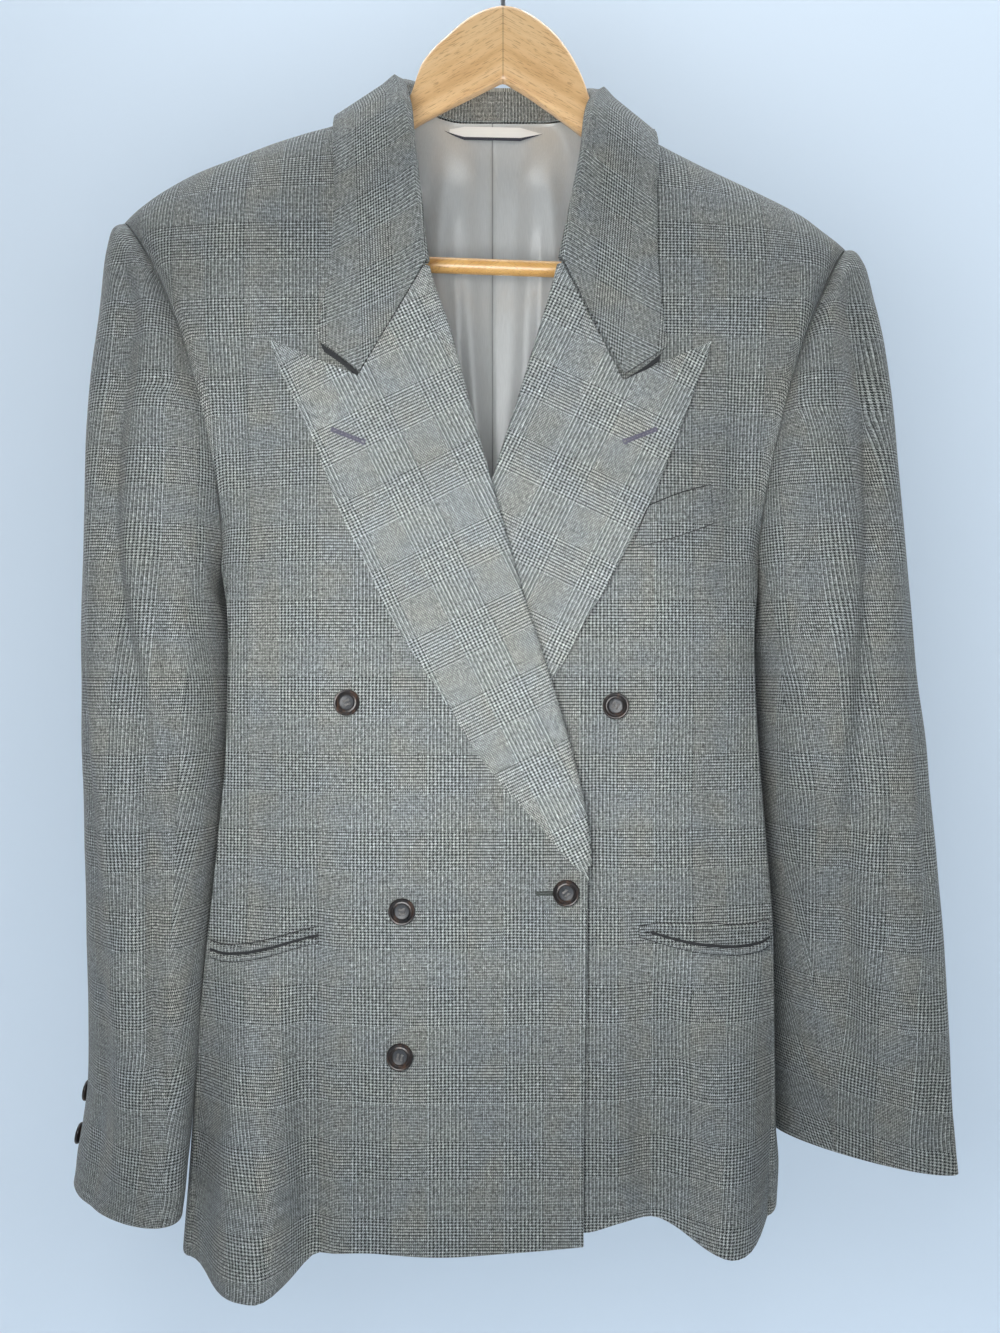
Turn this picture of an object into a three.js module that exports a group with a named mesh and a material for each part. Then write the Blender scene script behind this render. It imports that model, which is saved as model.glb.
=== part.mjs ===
// Double breasted blazer hanging on a wooden hanger. Millimetres, +Z up, +X to the viewer's right,
// front of the blazer towards -Y. The origin is the top inside of the hook, where a rod carries it.
import * as THREE from "three";

const CLOTH_T = 2.0;
const LAPEL_T = 3.0;
const LINING_T = 1.0;
const SEAM_GAP = 0.3;
const ARMHOLE_GAP = 0.5;
const RIDGE_Y = 0;
const SHOULDER_DROP = 95;
const FRONT_DEPTH = 50;
const BACK_DEPTH = 46;
const CORE_HALF_WIDTH = 150;
const CORE_BELOW_RIDGE = 60;
const UNDERARM_DEG = -55;
const HEM_NOMINAL_Z = -990;

const COLOURS = {
  cloth: 0x828684,
  clothLight: 0x969b9b,
  lining: 0x8f8a82,
  label: 0xe6e4de,
  horn: 0x3d3a38,
  thread: 0x77757c,
  wood: 0xdeb280,
  metal: 0xb9bcc0,
};

const clamp = (v, lo, hi) => Math.min(hi, Math.max(lo, v));
const lerp = (a, b, t) => a + (b - a) * t;
const smooth = (a, b, v) => {
  const t = clamp((v - a) / (b - a), 0, 1);
  return t * t * (3 - 2 * t);
};
const rad = (deg) => (deg * Math.PI) / 180;
const mixPoint = (p, q, t) => p.map((v, i) => lerp(v, q[i], t));
const addScaled = (p, q, k) => p.map((v, i) => v + q[i] * k);
const sub = (p, q) => p.map((v, i) => v - q[i]);
const dot = (p, q) => p.reduce((s, v, i) => s + v * q[i], 0);
const unit = (p) => {
  const n = Math.hypot(...p);
  return p.map((v) => v / n);
};

// Value of a two-column table at a key; rows run either way along the key.
const lookUp = (rows, key) => {
  const first = rows[0];
  const last = rows[rows.length - 1];
  const rising = last[0] > first[0] ? 1 : -1;
  if ((key - first[0]) * rising <= 0) return first[1];
  for (let i = 1; i < rows.length; i += 1) {
    const [k0, v0] = rows[i - 1];
    const [k1, v1] = rows[i];
    if ((key - k1) * rising <= 0) return lerp(v0, v1, (key - k0) / (k1 - k0));
  }
  return last[1];
};

// x, z of the shoulder ridge.
const RIDGE = [
  [-292, -230], [-275, -218], [-257, -206], [-232, -192.5], [-200, -180], [-174, -170], [-147, -161.5],
  [-122, -154.5], [-80, -132], [-50, -129], [50, -134], [75, -141], [112, -167], [144, -184],
  [190, -206], [225, -224], [246, -239], [264, -250.5],
];
const ridgeZ = (x) => lookUp(RIDGE, x);
const backRidgeZ = (x) => lerp(-80, ridgeZ(x), smooth(30, 78, Math.abs(x)));
const roundOver = (drop) => Math.sqrt(1 - (1 - clamp(drop / SHOULDER_DROP, 0, 1)) ** 2);
const bump = (v, centre, half, power) => Math.exp(-(Math.abs((v - centre) / half) ** power));

// Each side of the blazer, in the viewer's terms: roll and side seam are z, x tables, hem is an x, z table.
const LEFT = {
  sign: -1,
  roll: [
    [-131, -79], [-150, -72], [-188, -67.4], [-231, -62], [-278, -56.5], [-328, -40.4], [-387, -25],
    [-444, -9.5], [-523, 12.7], [-567, 27], [-621, 43], [-657, 52.4], [-686, 58], [-714, 60], [-808, 59],
    [-901, 57.6], [-995, 57],
  ],
  seam: [[-470, -204], [-545, -199], [-620, -199], [-700, -204], [-790, -210], [-880, -214], [-940, -220], [-995, -228]],
  side: [
    [-500, -215], [-512, -210], [-530, -206], [-560, -204.5], [-620, -205], [-676, -208], [-727, -212],
    [-787, -219], [-840, -225], [-900, -230], [-945, -234], [-968, -236], [-995, -238],
  ],
  backSeam: [
    [-470, -204], [-545, -199], [-620, -200], [-700, -210], [-760, -226], [-840, -240], [-900, -242],
    [-995, -244],
  ],
  hem: [
    [58, -983], [12, -987], [-45, -990.5], [-103, -988], [-132, -991], [-150, -999], [-170, -1001],
    [-200, -1001], [-228, -1000], [-250, -985],
  ],
  seamY: [[-470, -28], [-510, -38], [-600, -42], [-720, -44], [-850, -46], [-995, -46]],
  columns: [0, 0.06, 0.16, 0.28, 0.4, 0.52, 0.62, 0.69, 0.735, 0.775, 0.82, 0.87, 0.93, 1],
  neckX: -79,
};
const RIGHT = {
  sign: 1,
  roll: [
    [-139, 71], [-158, 64], [-196, 59], [-234, 51.6], [-277, 42.6], [-357, 19.3], [-444, -8],
    [-580, -49], [-715, -90], [-995, -92],
  ],
  seam: [[-485, 184], [-560, 182], [-620, 184], [-700, 190], [-770, 196], [-880, 197], [-995, 194]],
  side: [
    [-515, 193], [-527, 190], [-545, 188], [-580, 188.5], [-650, 192.5], [-700, 196.5], [-750, 200],
    [-800, 202], [-870, 203.5], [-925, 205], [-960, 208], [-995, 206],
  ],
  backSeam: [[-485, 184], [-560, 182], [-620, 184], [-700, 188], [-770, 192], [-880, 194], [-995, 196]],
  hem: [
    [-92, -977], [58, -976], [85, -970], [107, -969], [121, -972], [145, -980], [164, -982], [184, -978],
    [206, -968],
  ],
  seamY: [[-485, -28], [-525, -38], [-600, -42], [-720, -44], [-850, -42], [-995, -40]],
  columns: [0, 0.06, 0.18, 0.31, 0.44, 0.55, 0.64, 0.71, 0.77, 0.82, 0.87, 0.91, 0.95, 1],
  neckX: 75,
};

// Sleeve sections from the armhole to the cuff.
const SLEEVE_KEYS = ["outX", "outZ", "inX", "inZ", "frontY", "backY", "bow", "frontShift", "outBack"];
const readRows = (keys, rows) => rows.map((r) => Object.fromEntries(keys.map((k, i) => [k, r[i]])));
LEFT.sleeve = readRows(SLEEVE_KEYS, [
  [-292, -230, -216, -505, -43, 43, 29, 0, 0],
  [-298, -236, -217, -515, -54, 46, 22, 0, 0],
  [-303, -256, -214.5, -526, -60, 50, 15, 0, 0],
  [-308, -309, -211, -537, -64, 55, 8, 0, 0],
  [-313, -364, -210, -552, -67, 58, 3, 0, 0],
  [-315, -419, -209, -568, -69, 60, 0, 0, 0],
  [-316.5, -488, -208, -594, -71, 61, 0, 0, 0],
  [-318, -558, -209, -630, -73, 60, 0, 0, 2],
  [-317.5, -627, -212, -678, -75, 57, 0, 0, 6],
  [-317, -695, -216, -729, -76, 52, 0, 1, 11],
  [-317, -771, -220, -789, -77, 44, 0, 3, 17],
  [-318, -832, -222, -842, -78, 36, 0, 6, 22],
  [-320, -887, -223, -886, -80, 28, 0, 8, 27],
  [-327, -938, -224, -929, -83, 20, 0, 10, 30],
  [-331, -965, -226, -957, -86, 16, 0, 11, 32],
]);
RIGHT.sleeve = readRows(SLEEVE_KEYS, [
  [264, -250.5, 194, -520, -43, 43, 23, 0, 0],
  [269, -254, 194.5, -529, -54, 46, 18, 0, 0],
  [276, -264, 193, -539, -59, 50, 12, 0, 0],
  [284, -297, 193, -550, -62, 55, 6, 0, 0],
  [291.5, -343, 194, -563, -64, 58, 2, 0, 0],
  [297.5, -402, 195, -581, -66, 60, 0, 0, 0],
  [304.5, -481, 196, -609, -69, 61, 0, 0, 0],
  [309, -558, 198, -649, -72, 60, 0, -1, -2],
  [313, -626, 200, -693, -75, 57, 0, -5, -6],
  [314, -690, 203, -739, -77, 52, 0, -10, -12],
  [315, -757, 206, -787, -79, 45, 0, -15, -18],
  [315, -824, 208, -839, -80, 36, 0, -20, -24],
  [314, -876, 210, -886, -82, 28, 0, -25, -28],
  [315, -903, 212, -913, -83, 22, 0, -27, -30],
  [316, -920, 213, -932, -84, 16, 0, -28, -30],
]);
LEFT.split = { front: -40.5, back: 104.5 };
RIGHT.split = { front: -55, back: 162.5 };

// Front of the body. Flutes and valleys grow towards the hem.
const frontY = (x, z) => {
  const drop = ridgeZ(x) - z;
  const base = FRONT_DEPTH * roundOver(drop) + 10 * smooth(-330, -600, z);
  const side = 14 * smooth(120, 215, Math.abs(x + 8)) * smooth(100, 250, drop);
  const low = clamp((-720 - z) / 270, 0, 1) ** 1.4;
  const mid = smooth(-600, -760, z);
  const leftHalf = x > -174 ? 26 : 42;
  const rightHalf = x < 165 ? 30 : 34;
  const flutes = 50 * low * bump(x, -174, leftHalf, 3) + 36 * low * bump(x, 165, rightHalf, 2.6);
  const valleys = 5 * mid * bump(x, -136, 12, 2) + (3 + 8 * low) * mid * bump(x, 108, 20, 2);
  const chest = 4 * bump(Math.abs(x + 10), 110, 60, 2) * bump(z, -420, 130, 2);
  return RIDGE_Y - base + side - flutes + valleys - chest;
};

const backY = (x, z) => {
  const drop = backRidgeZ(x) - z;
  const side = 16 * smooth(110, 215, Math.abs(x + 8)) * smooth(80, 220, drop);
  const low = clamp((-500 - z) / 490, 0, 1);
  const folds = 7 * low * Math.cos((x + 60) / 26) * smooth(220, 150, Math.abs(x + 8));
  return RIDGE_Y + (BACK_DEPTH + 4 * smooth(-200, -420, z)) * roundOver(drop) - side + folds;
};

// How far the lapped front stands off the front below it.
const lapLift = (x, z) => {
  const under = lookUp(RIGHT.roll, z);
  const full = lerp(8.5, 5.5, smooth(-725, -860, z));
  return full * smooth(under - 75, under - 7, x);
};
const leftFrontY = (x, z) => frontY(x, z) - lapLift(x, z);

// Direction in which every body wall gets its thickness, so that neighbours share their seam faces.
const inward = (p) => {
  const core = [
    clamp(p[0], -CORE_HALF_WIDTH, CORE_HALF_WIDTH),
    RIDGE_Y,
    Math.min(p[2], ridgeZ(p[0]) - CORE_BELOW_RIDGE),
  ];
  return unit(sub(core, p));
};

const sleevePoint = (row, deg, thin) => {
  const c = [(row.outX + row.inX) / 2, (row.frontY + row.backY) / 2, (row.outZ + row.inZ) / 2];
  const span = [row.outX - c[0], 0, row.outZ - c[2]];
  const half = Math.hypot(...span);
  const up = unit(span);
  const depth = (row.backY - row.frontY) / 2;
  const toBody = [up[2] * -Math.sign(row.outX), 0, Math.abs(up[0])];
  const crossHalf = Math.sqrt(half ** 2 - row.frontShift ** 2);
  const deepHalf = Math.sqrt(depth ** 2 - row.outBack ** 2);
  const cosA = Math.cos(rad(deg));
  const sinA = Math.sin(rad(deg));
  const bow = row.bow * Math.abs(cosA) ** 1.5;
  const p = addScaled(addScaled(c, up, (crossHalf - thin) * sinA), toBody, bow);
  p[0] += -Math.sign(row.outX) * row.frontShift * cosA;
  p[1] += -(deepHalf - thin) * cosA + row.outBack * sinA;
  return p;
};

const armholeEdge = (side, deg) => {
  const row = side.sleeve[0];
  const seam = sleevePoint(row, deg, 0);
  const inner = sleevePoint(row, deg, CLOTH_T);
  const up = unit([row.outX - row.inX, 0, row.outZ - row.inZ]);
  const toBody = [up[2] * -side.sign, 0, Math.abs(up[0])];
  return { p: addScaled(seam, toBody, ARMHOLE_GAP), dir: unit(sub(inner, seam)) };
};

// Closed wall from two equal grids of points.
const wallGeometry = (outer, inner) => {
  const rows = outer.length;
  const cols = outer[0].length;
  const points = [...outer.flat(), ...inner.flat()];
  const shift = rows * cols;
  const index = [];
  const quad = (a, b, c, d) => index.push(a, b, c, a, c, d);
  for (let i = 0; i + 1 < rows; i += 1) {
    for (let j = 0; j + 1 < cols; j += 1) {
      const a = i * cols + j;
      quad(a, a + 1, a + cols + 1, a + cols);
      quad(shift + a, shift + a + cols, shift + a + cols + 1, shift + a + 1);
    }
  }
  const rim = [];
  for (let j = 0; j < cols; j += 1) rim.push(j);
  for (let i = 1; i < rows; i += 1) rim.push(i * cols + cols - 1);
  for (let j = cols - 2; j >= 0; j -= 1) rim.push((rows - 1) * cols + j);
  for (let i = rows - 2; i > 0; i -= 1) rim.push(i * cols);
  rim.forEach((a, k) => {
    const b = rim[(k + 1) % rim.length];
    quad(b, a, shift + a, shift + b);
  });
  return makeGeometry(points, index);
};

const makeGeometry = (points, index) => {
  let volume = 0;
  for (let k = 0; k < index.length; k += 3) {
    const [a, b, c] = [points[index[k]], points[index[k + 1]], points[index[k + 2]]];
    volume += a[0] * (b[1] * c[2] - b[2] * c[1]);
    volume += a[1] * (b[2] * c[0] - b[0] * c[2]);
    volume += a[2] * (b[0] * c[1] - b[1] * c[0]);
  }
  if (volume < 0) index.reverse();
  const geometry = new THREE.BufferGeometry();
  geometry.setAttribute("position", new THREE.Float32BufferAttribute(points.flat(), 3));
  geometry.setIndex(index);
  geometry.computeVertexNormals();
  return geometry;
};

const group = new THREE.Group();
const FINISH = { horn: [0.35, 0], metal: [0.3, 1], wood: [0.4, 0], lining: [0.45, 0] };
const add = (name, colour, geometry) => {
  const [roughness, metalness] = FINISH[colour] ?? [0.9, 0];
  const material = new THREE.MeshStandardMaterial({ color: COLOURS[colour], roughness, metalness });
  const mesh = new THREE.Mesh(geometry, material);
  mesh.name = name;
  group.add(mesh);
};
const addWall = (name, colour, grid, thickness) => {
  const outer = grid.map((row) => row.map((c) => c.p));
  const inner = grid.map((row) => row.map((c) => addScaled(c.p, c.dir, thickness)));
  add(name, colour, wallGeometry(outer, inner));
};

// Rows of a front or back panel: straight to the underarm, then up the armhole.
const LOW_LEVELS = [0, 0.08, 0.17, 0.26, 0.35, 0.44, 0.53, 0.62, 0.71, 0.79, 0.87, 0.945, 1];
const ARM_ROWS = 10;
const EDGE_POWER = 24;
const panelRows = (side, isBack) => {
  const under = isBack ? 180 - UNDERARM_DEG : UNDERARM_DEG;
  const top = armholeEdge(side, 90).p[2];
  const bottom = armholeEdge(side, under).p[2];
  const rows = [];
  LOW_LEVELS.forEach((v) => {
    const z = lerp(HEM_NOMINAL_Z, bottom, v);
    rows.push({ inZ: z, outZ: z, deg: v === 1 ? under : null, up: v - 1 });
  });
  for (let k = 1; k <= ARM_ROWS; k += 1) {
    const deg = lerp(under, 90, k / ARM_ROWS);
    const z = armholeEdge(side, deg).p[2];
    const f = (z - bottom) / (top - bottom);
    rows.push({ inZ: null, outZ: z, deg, up: f });
  }
  return { rows, bottom };
};

const frontGrid = (side, surface) => {
  const { rows, bottom } = panelRows(side, false);
  const rollTop = side.roll[0][0];
  return rows.map((row) => {
    const inZ = row.inZ ?? lerp(bottom, rollTop, row.up);
    const inX = lookUp(side.roll, inZ);
    const edge = row.deg === null ? null : armholeEdge(side, row.deg);
    const outX = edge ? edge.p[0] : lookUp(side.seam, row.outZ);
    const outY = edge ? edge.p[1] : lookUp(side.seamY, row.outZ);
    return side.columns.map((u) => {
      const x = lerp(inX, outX, u);
      let z = lerp(inZ, row.outZ, u);
      if (row.up < 0) z += row.up ** 2 * (lookUp(side.hem, x) - HEM_NOMINAL_Z);
      else z += row.up ** 3 * (ridgeZ(x) - lerp(rollTop, ridgeZ(outX), u)) * (u < 1 ? 1 : 0);
      const onRidge = row.up === 1 ? -SEAM_GAP / 2 : 0;
      const y = lerp(surface(x, z), outY, u ** EDGE_POWER) + onRidge;
      const p = [x, y, z];
      if (u === 1 && edge) return { p: [edge.p[0], edge.p[1] + onRidge, edge.p[2]], dir: edge.dir };
      const dir = edge ? unit(mixPoint(inward(p), edge.dir, u ** 4)) : inward(p);
      return { p, dir };
    });
  });
};

// Height of a built panel under a point, so that what lies on it follows its facets.
const SLACK = 0.001;
const heightOn = (grid, fallback) => (x, z) => {
  for (let i = 0; i + 1 < grid.length; i += 1) {
    for (let j = 0; j + 1 < grid[i].length; j += 1) {
      const [a, b, c, d] = [grid[i][j].p, grid[i][j + 1].p, grid[i + 1][j + 1].p, grid[i + 1][j].p];
      for (const [q, r, s] of [[a, b, c], [a, c, d]]) {
        const area = (r[0] - q[0]) * (s[2] - q[2]) - (s[0] - q[0]) * (r[2] - q[2]);
        const v = ((x - q[0]) * (s[2] - q[2]) - (s[0] - q[0]) * (z - q[2])) / area;
        const w = ((r[0] - q[0]) * (z - q[2]) - (x - q[0]) * (r[2] - q[2])) / area;
        if (v >= -SLACK && w >= -SLACK && v + w <= 1 + SLACK) return q[1] * (1 - v - w) + r[1] * v + s[1] * w;
      }
    }
  }
  return fallback(x, z);
};
const leftPanel = frontGrid(LEFT, leftFrontY);
const rightPanel = frontGrid(RIGHT, frontY);
const onLeft = heightOn(leftPanel, leftFrontY);
const onRight = heightOn(rightPanel, frontY);

const edgeLine = (panel) => panel.map((row) => [row[0].p[2], row[0].p[0]]);
LEFT.edge = edgeLine(leftPanel);
RIGHT.edge = edgeLine(rightPanel);

const neckZ = (x) => lerp(-131, ridgeZ(x) - 0.4, smooth(30, 78, Math.abs(x)));
const BACK_COLUMNS = [0, 0.12, 0.19, 0.27, 0.38, 0.52, 0.66, 0.8, 0.91, 1];
const backGrid = (side) => {
  const { rows, bottom } = panelRows(side, true);
  return rows.map((row) => {
    const centreX = side.sign * (SEAM_GAP / 2);
    const edge = row.deg === null ? null : armholeEdge(side, row.deg);
    const outX = edge ? edge.p[0] : lookUp(side.backSeam, row.outZ);
    const outY = edge ? edge.p[1] : -lookUp(side.seamY, row.outZ);
    const inZ = row.inZ ?? lerp(bottom, neckZ(0), row.up);
    return BACK_COLUMNS.map((u) => {
      const x = lerp(centreX, outX, u);
      let z = lerp(inZ, row.outZ, u);
      const topZ = Math.abs(x) < Math.abs(side.neckX) ? neckZ(x) : ridgeZ(x);
      if (row.up < 0) z += row.up ** 2 * (lookUp(side.hem, x) - HEM_NOMINAL_Z) * smooth(0, 1, u);
      else z += row.up ** 3 * (topZ - lerp(neckZ(0), ridgeZ(outX), u)) * (u < 1 ? 1 : 0);
      const onRidge = row.up === 1 ? SEAM_GAP / 2 : 0;
      const y = lerp(backY(x, z), outY, u ** EDGE_POWER) + onRidge;
      const p = [x, y, z];
      if (u === 1 && edge) return { p: [edge.p[0], edge.p[1] + onRidge, edge.p[2]], dir: edge.dir };
      const dir = edge ? unit(mixPoint(inward(p), edge.dir, u ** 4)) : inward(p);
      return { p, dir };
    });
  });
};

const SIDE_COLUMNS = 5;
const sideGrid = (side) => LOW_LEVELS.map((v) =>
  Array.from({ length: SIDE_COLUMNS + 1 }, (_, j) => {
    const t = j / SIDE_COLUMNS;
    const arm = armholeEdge(side, lerp(UNDERARM_DEG, -180 - UNDERARM_DEG, t));
    const level = lerp(HEM_NOMINAL_Z, arm.p[2], v);
    const seamX = lerp(lookUp(side.seam, level), lookUp(side.backSeam, level), t);
    const bulge = Math.sin(Math.PI * t) ** 0.8;
    const sideX = lerp(seamX, lookUp(side.side, level), bulge);
    const z = level + (1 - v) ** 2 * (lookUp(side.hem, sideX) - HEM_NOMINAL_Z);
    const across = Math.cos(Math.PI * t);
    const y = lookUp(side.seamY, level) * Math.sign(across) * Math.abs(across) ** 0.9;
    const p = mixPoint([sideX, y, z], arm.p, v ** 40);
    p[1] += t === 0 ? SEAM_GAP : t === 1 ? -SEAM_GAP : 0;
    return { p, dir: unit(mixPoint(inward(p), arm.dir, v ** 20)) };
  }));

// Angles of the armhole points of fronts, backs and sides, so that the sleeves meet them.
const seamAngles = () => {
  const body = Array.from({ length: ARM_ROWS * 2 }, (_, k) => lerp(UNDERARM_DEG, 180 - UNDERARM_DEG,
    k / (ARM_ROWS * 2)));
  const under = Array.from({ length: SIDE_COLUMNS }, (_, k) => lerp(180 - UNDERARM_DEG, 360 + UNDERARM_DEG,
    k / SIDE_COLUMNS));
  const once = [...body, ...under];
  return [...once, ...once.map((deg) => deg + 360)];
};

const addSleeve = (side, word) => {
  const { front, back } = side.split;
  const trim = 0.2;
  const parts = [
    { name: `top_sleeve_${word}`, from: front, to: back },
    { name: `under_sleeve_${word}`, from: back, to: front + 360 },
  ];
  parts.forEach(({ name, from, to }) => {
    const angles = seamAngles().filter((deg) => deg >= from && deg <= to);
    angles[0] += trim;
    angles[angles.length - 1] -= trim;
    const grid = (thin) => side.sleeve.map((row) => angles.map((deg) => sleevePoint(row, deg, thin)));
    add(name, "cloth", wallGeometry(grid(0), grid(CLOTH_T)));
  });
};

// A lapel or collar wraps round the edge it is folded over, then lies on the cloth below.
// along is measured from that edge over the cloth, off is the height above the cloth.
const FOLD = [
  { along: -3.3, off: -2.0, innerAlong: -0.35, innerOff: -2.0 },
  { along: -2.7, off: 2.0, innerAlong: -0.4, innerOff: 0.4 },
  { along: 0.4, off: 4.2, innerAlong: 1.0, innerOff: 1.2 },
];
const OVER_OFF = 4.4;
const COLLAR_EXTRA = 1.3;
const COLLAR_BEYOND = 0.9;

const LAPEL_KEYS = ["rollZ", "outX", "outZ", "bend"];
const LAPELS = {
  left: {
    side: LEFT, surface: onLeft, notch: 0.47, notchShift: [5, 0, -56], belly: 2.5,
    rows: readRows(LAPEL_KEYS, [
      [-281, -168, -335, 1], [-296, -165, -346, 0.96], [-314, -160, -359, 0.9], [-338, -149, -381, 0.8],
      [-367, -134, -414, 0.64], [-400, -119, -454, 0.46], [-435, -98, -497, 0.3], [-468, -82, -532, 0.2],
      [-500, -65, -559, 0.1], [-540, -39, -598, 0], [-580, -16, -635, 0], [-618, 10, -666, 0],
      [-648, 27, -684, 0], [-672, 39, -695, 0], [-698, 53, -708, 0],
    ]),
  },
  right: {
    side: RIGHT, surface: onRight, notch: 0.42, notchShift: [-2, 0, -62], belly: 1.0,
    rows: readRows(LAPEL_KEYS, [
      [-280, 150, -336, 1], [-295, 147, -347, 0.97], [-313, 142, -360, 0.92], [-337, 133, -384, 0.8],
      [-366, 122, -413, 0.64], [-400, 108, -446, 0.46], [-435, 92, -478, 0.3], [-468, 75, -511, 0.2],
      [-500, 59, -537, 0.1], [-540, 40, -572, 0], [-580, 12, -610, 0], [-618, -14, -639, 0],
      [-650, -38, -667, 0], [-680, -64, -693, 0], [-700, -76, -706, 0],
    ]),
  },
};

const LAPEL_ACROSS = [0.06, 0.14, 0.28, 0.42, 0.56, 0.7, 0.85, 1];
const bendAt = (t, notch) => (t < notch ? t / notch : (1 - t) / (1 - notch));
const lapelGrids = (lapel) => {
  const outer = [];
  const inner = [];
  const away = -lapel.side.sign;
  lapel.rows.forEach((row) => {
    const rollX = lookUp(lapel.side.edge, row.rollZ);
    const edge = [rollX, lapel.surface(rollX, row.rollZ), row.rollZ];
    const o = FOLD.map((f) => [edge[0] - away * f.along, edge[1] - f.off, edge[2]]);
    const n = FOLD.map((f) => [edge[0] - away * f.innerAlong, edge[1] - f.innerOff, edge[2]]);
    const across = LAPEL_ACROSS.map((t) => (t === 0.42 ? lapel.notch : t));
    across.forEach((t) => {
      const k = bendAt(t, lapel.notch) * row.bend;
      const x = lerp(rollX, row.outX, t) + k * lapel.notchShift[0];
      const z = lerp(row.rollZ, row.outZ, t) + k * lapel.notchShift[2];
      const lift = OVER_OFF + lapel.belly * Math.sin(Math.PI * Math.min(1, t * 1.4)) * smooth(-560, -420, z);
      const y = lapel.surface(x, z) - lift;
      o.push([x, y, z]);
      n.push([x, y + LAPEL_T, z]);
    });
    outer.push(o);
    inner.push(n);
  });
  return { outer, inner };
};

// Collar: edge is what it folds over (front edge, then the top of the stand), rim its outer edge.
const COLLAR_KEYS = ["x", "y", "z", "rimX", "rimY", "rimZ", "bend"];
const COLLAR = {
  left: readRows(COLLAR_KEYS, [
    [null, null, -278.5, -135, "front", -335, 1], [null, null, -262, -130, "front", -313, 0.62],
    [null, null, -242, -125.5, "front", -287, 0.3], [null, null, -218, -123, "front", -257, 0.1],
    [null, null, -190, -122.5, "front", -226, 0], [null, null, -160, -123, "front", -193, 0],
    [null, null, -144, -123.5, "front", -176, 0], [-77.5, -13, -128.5, -123, "front", -161, 0],
    [-79, 0, -121.5, -122, "front", -154.7, 0],
    [-77, 10, -115.5, -119.5, "back", -158.5, 0], [-71, 21, -110.5, -112, "back", -162, 0],
    [-59, 31, -107, -98, "back", -163, 0], [-39, 40, -104.5, -68, "back", -168, 0],
    [-14, 44.5, -104, -24, "back", -169, 0],
  ]),
  right: readRows(COLLAR_KEYS, [
    [null, null, -276.5, 118, "front", -342, 1], [null, null, -262, 115, "front", -318, 0.62],
    [null, null, -242, 112.5, "front", -291, 0.3], [null, null, -218, 111, "front", -262, 0.1],
    [null, null, -196, 111, "front", -234, 0], [null, null, -168, 112, "front", -206, 0],
    [null, null, -152, 112, "front", -188, 0], [71, -13, -137.5, 111, "front", -173, 0],
    [73, 0, -130.5, 110.5, "front", -166.2, 0],
    [71.5, 10, -123, 108, "back", -169, 0], [66, 21, -116.5, 103, "back", -172, 0],
    [56, 31, -111.5, 91, "back", -171, 0], [37, 40, -106, 64, "back", -172, 0],
    [13, 44.5, -104, 23, "back", -169, 0],
  ]),
};
const collarRow = (row, word) => {
  const side = word === "left" ? LEFT : RIGHT;
  const x = row.x ?? lookUp(side.edge, row.z);
  const surface = word === "left" ? onLeft : onRight;
  return {
    edge: [x, row.y ?? surface(x, row.z), row.z],
    rim: [row.rimX, row.rimY === "front" ? surface(row.rimX, row.rimZ) : backY(row.rimX, row.rimZ), row.rimZ],
    bend: row.bend,
    onFront: row.rimY === "front",
    surface,
    notchShift: word === "left" ? [1.7, 0, -45.6] : [-2, 0, -44],
  };
};
const collarRows = [
  ...COLLAR.left.map((row) => collarRow(row, "left")),
  ...COLLAR.right.map((row) => collarRow(row, "right")).reverse(),
];
const COLLAR_NOTCH = 0.62;
const SHOULDER_LIFT = 2.6;
const COLLAR_ACROSS = [0.14, 0.38, COLLAR_NOTCH, 0.82, 1];
const outwardAcross = (p, across) => {
  const field = inward(p).map((v) => -v);
  return unit(addScaled(field, across, -dot(field, across)));
};
const collarGrids = () => {
  const outer = [];
  const inner = [];
  collarRows.forEach((row) => {
    const across = unit(sub(row.rim, row.edge));
    const normal = outwardAcross(row.edge, across);
    const place = (along, off) => addScaled(addScaled(row.edge, across, along), normal, off);
    const extra = (f) => (f.off > 0 ? COLLAR_EXTRA : 0);
    const o = FOLD.map((f) => place(f.along - COLLAR_BEYOND, f.off + extra(f)));
    const n = FOLD.map((f) => place(f.innerAlong - COLLAR_BEYOND, f.innerOff + extra(f)));
    COLLAR_ACROSS.forEach((t) => {
      const k = bendAt(t, COLLAR_NOTCH) * row.bend;
      const base = mixPoint(row.edge, row.rim, t);
      base[0] += k * row.notchShift[0];
      base[2] += k * row.notchShift[2];
      const out = outwardAcross(base, across);
      if (row.onFront && base[2] < ridgeZ(base[0])) {
        base[1] = Math.min(base[1], row.surface(base[0], base[2]));
      }
      const nearRidge = SHOULDER_LIFT * smooth(75, 35, ridgeZ(base[0]) - base[2]);
      const off = OVER_OFF + (row.onFront ? nearRidge : SHOULDER_LIFT + 0.4);
      o.push(addScaled(base, out, off));
      n.push(addScaled(base, out, off - LAPEL_T));
    });
    outer.push(o);
    inner.push(n);
  });
  return { outer, inner };
};

// Stand of the collar, from the neckline up to the fold.
const STAND_FROM = 7;
const STAND_INSET = 2.2;
const standGrid = () => collarRows.slice(STAND_FROM, collarRows.length - STAND_FROM).map((row) => {
  const [x, y, z] = row.edge;
  const isBack = y > 5;
  const footX = clamp(x * 1.02, LEFT.neckX - 0.5, RIGHT.neckX - 1);
  const footZ = Math.min(z - 3, isBack ? neckZ(footX) + 0.7 : ridgeZ(footX) + 1.6);
  const footY = isBack ? backY(footX, neckZ(footX)) : y;
  const dir = unit([-x, isBack ? -y * 1.6 : y * -0.6, 0]);
  const cell = (t) => {
    const p = mixPoint([footX, footY, footZ], [x, y, z - 1.7], t);
    return { p: addScaled(p, dir, STAND_INSET), dir };
  };
  return [cell(0), cell(0.5), cell(1)];
});

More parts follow.
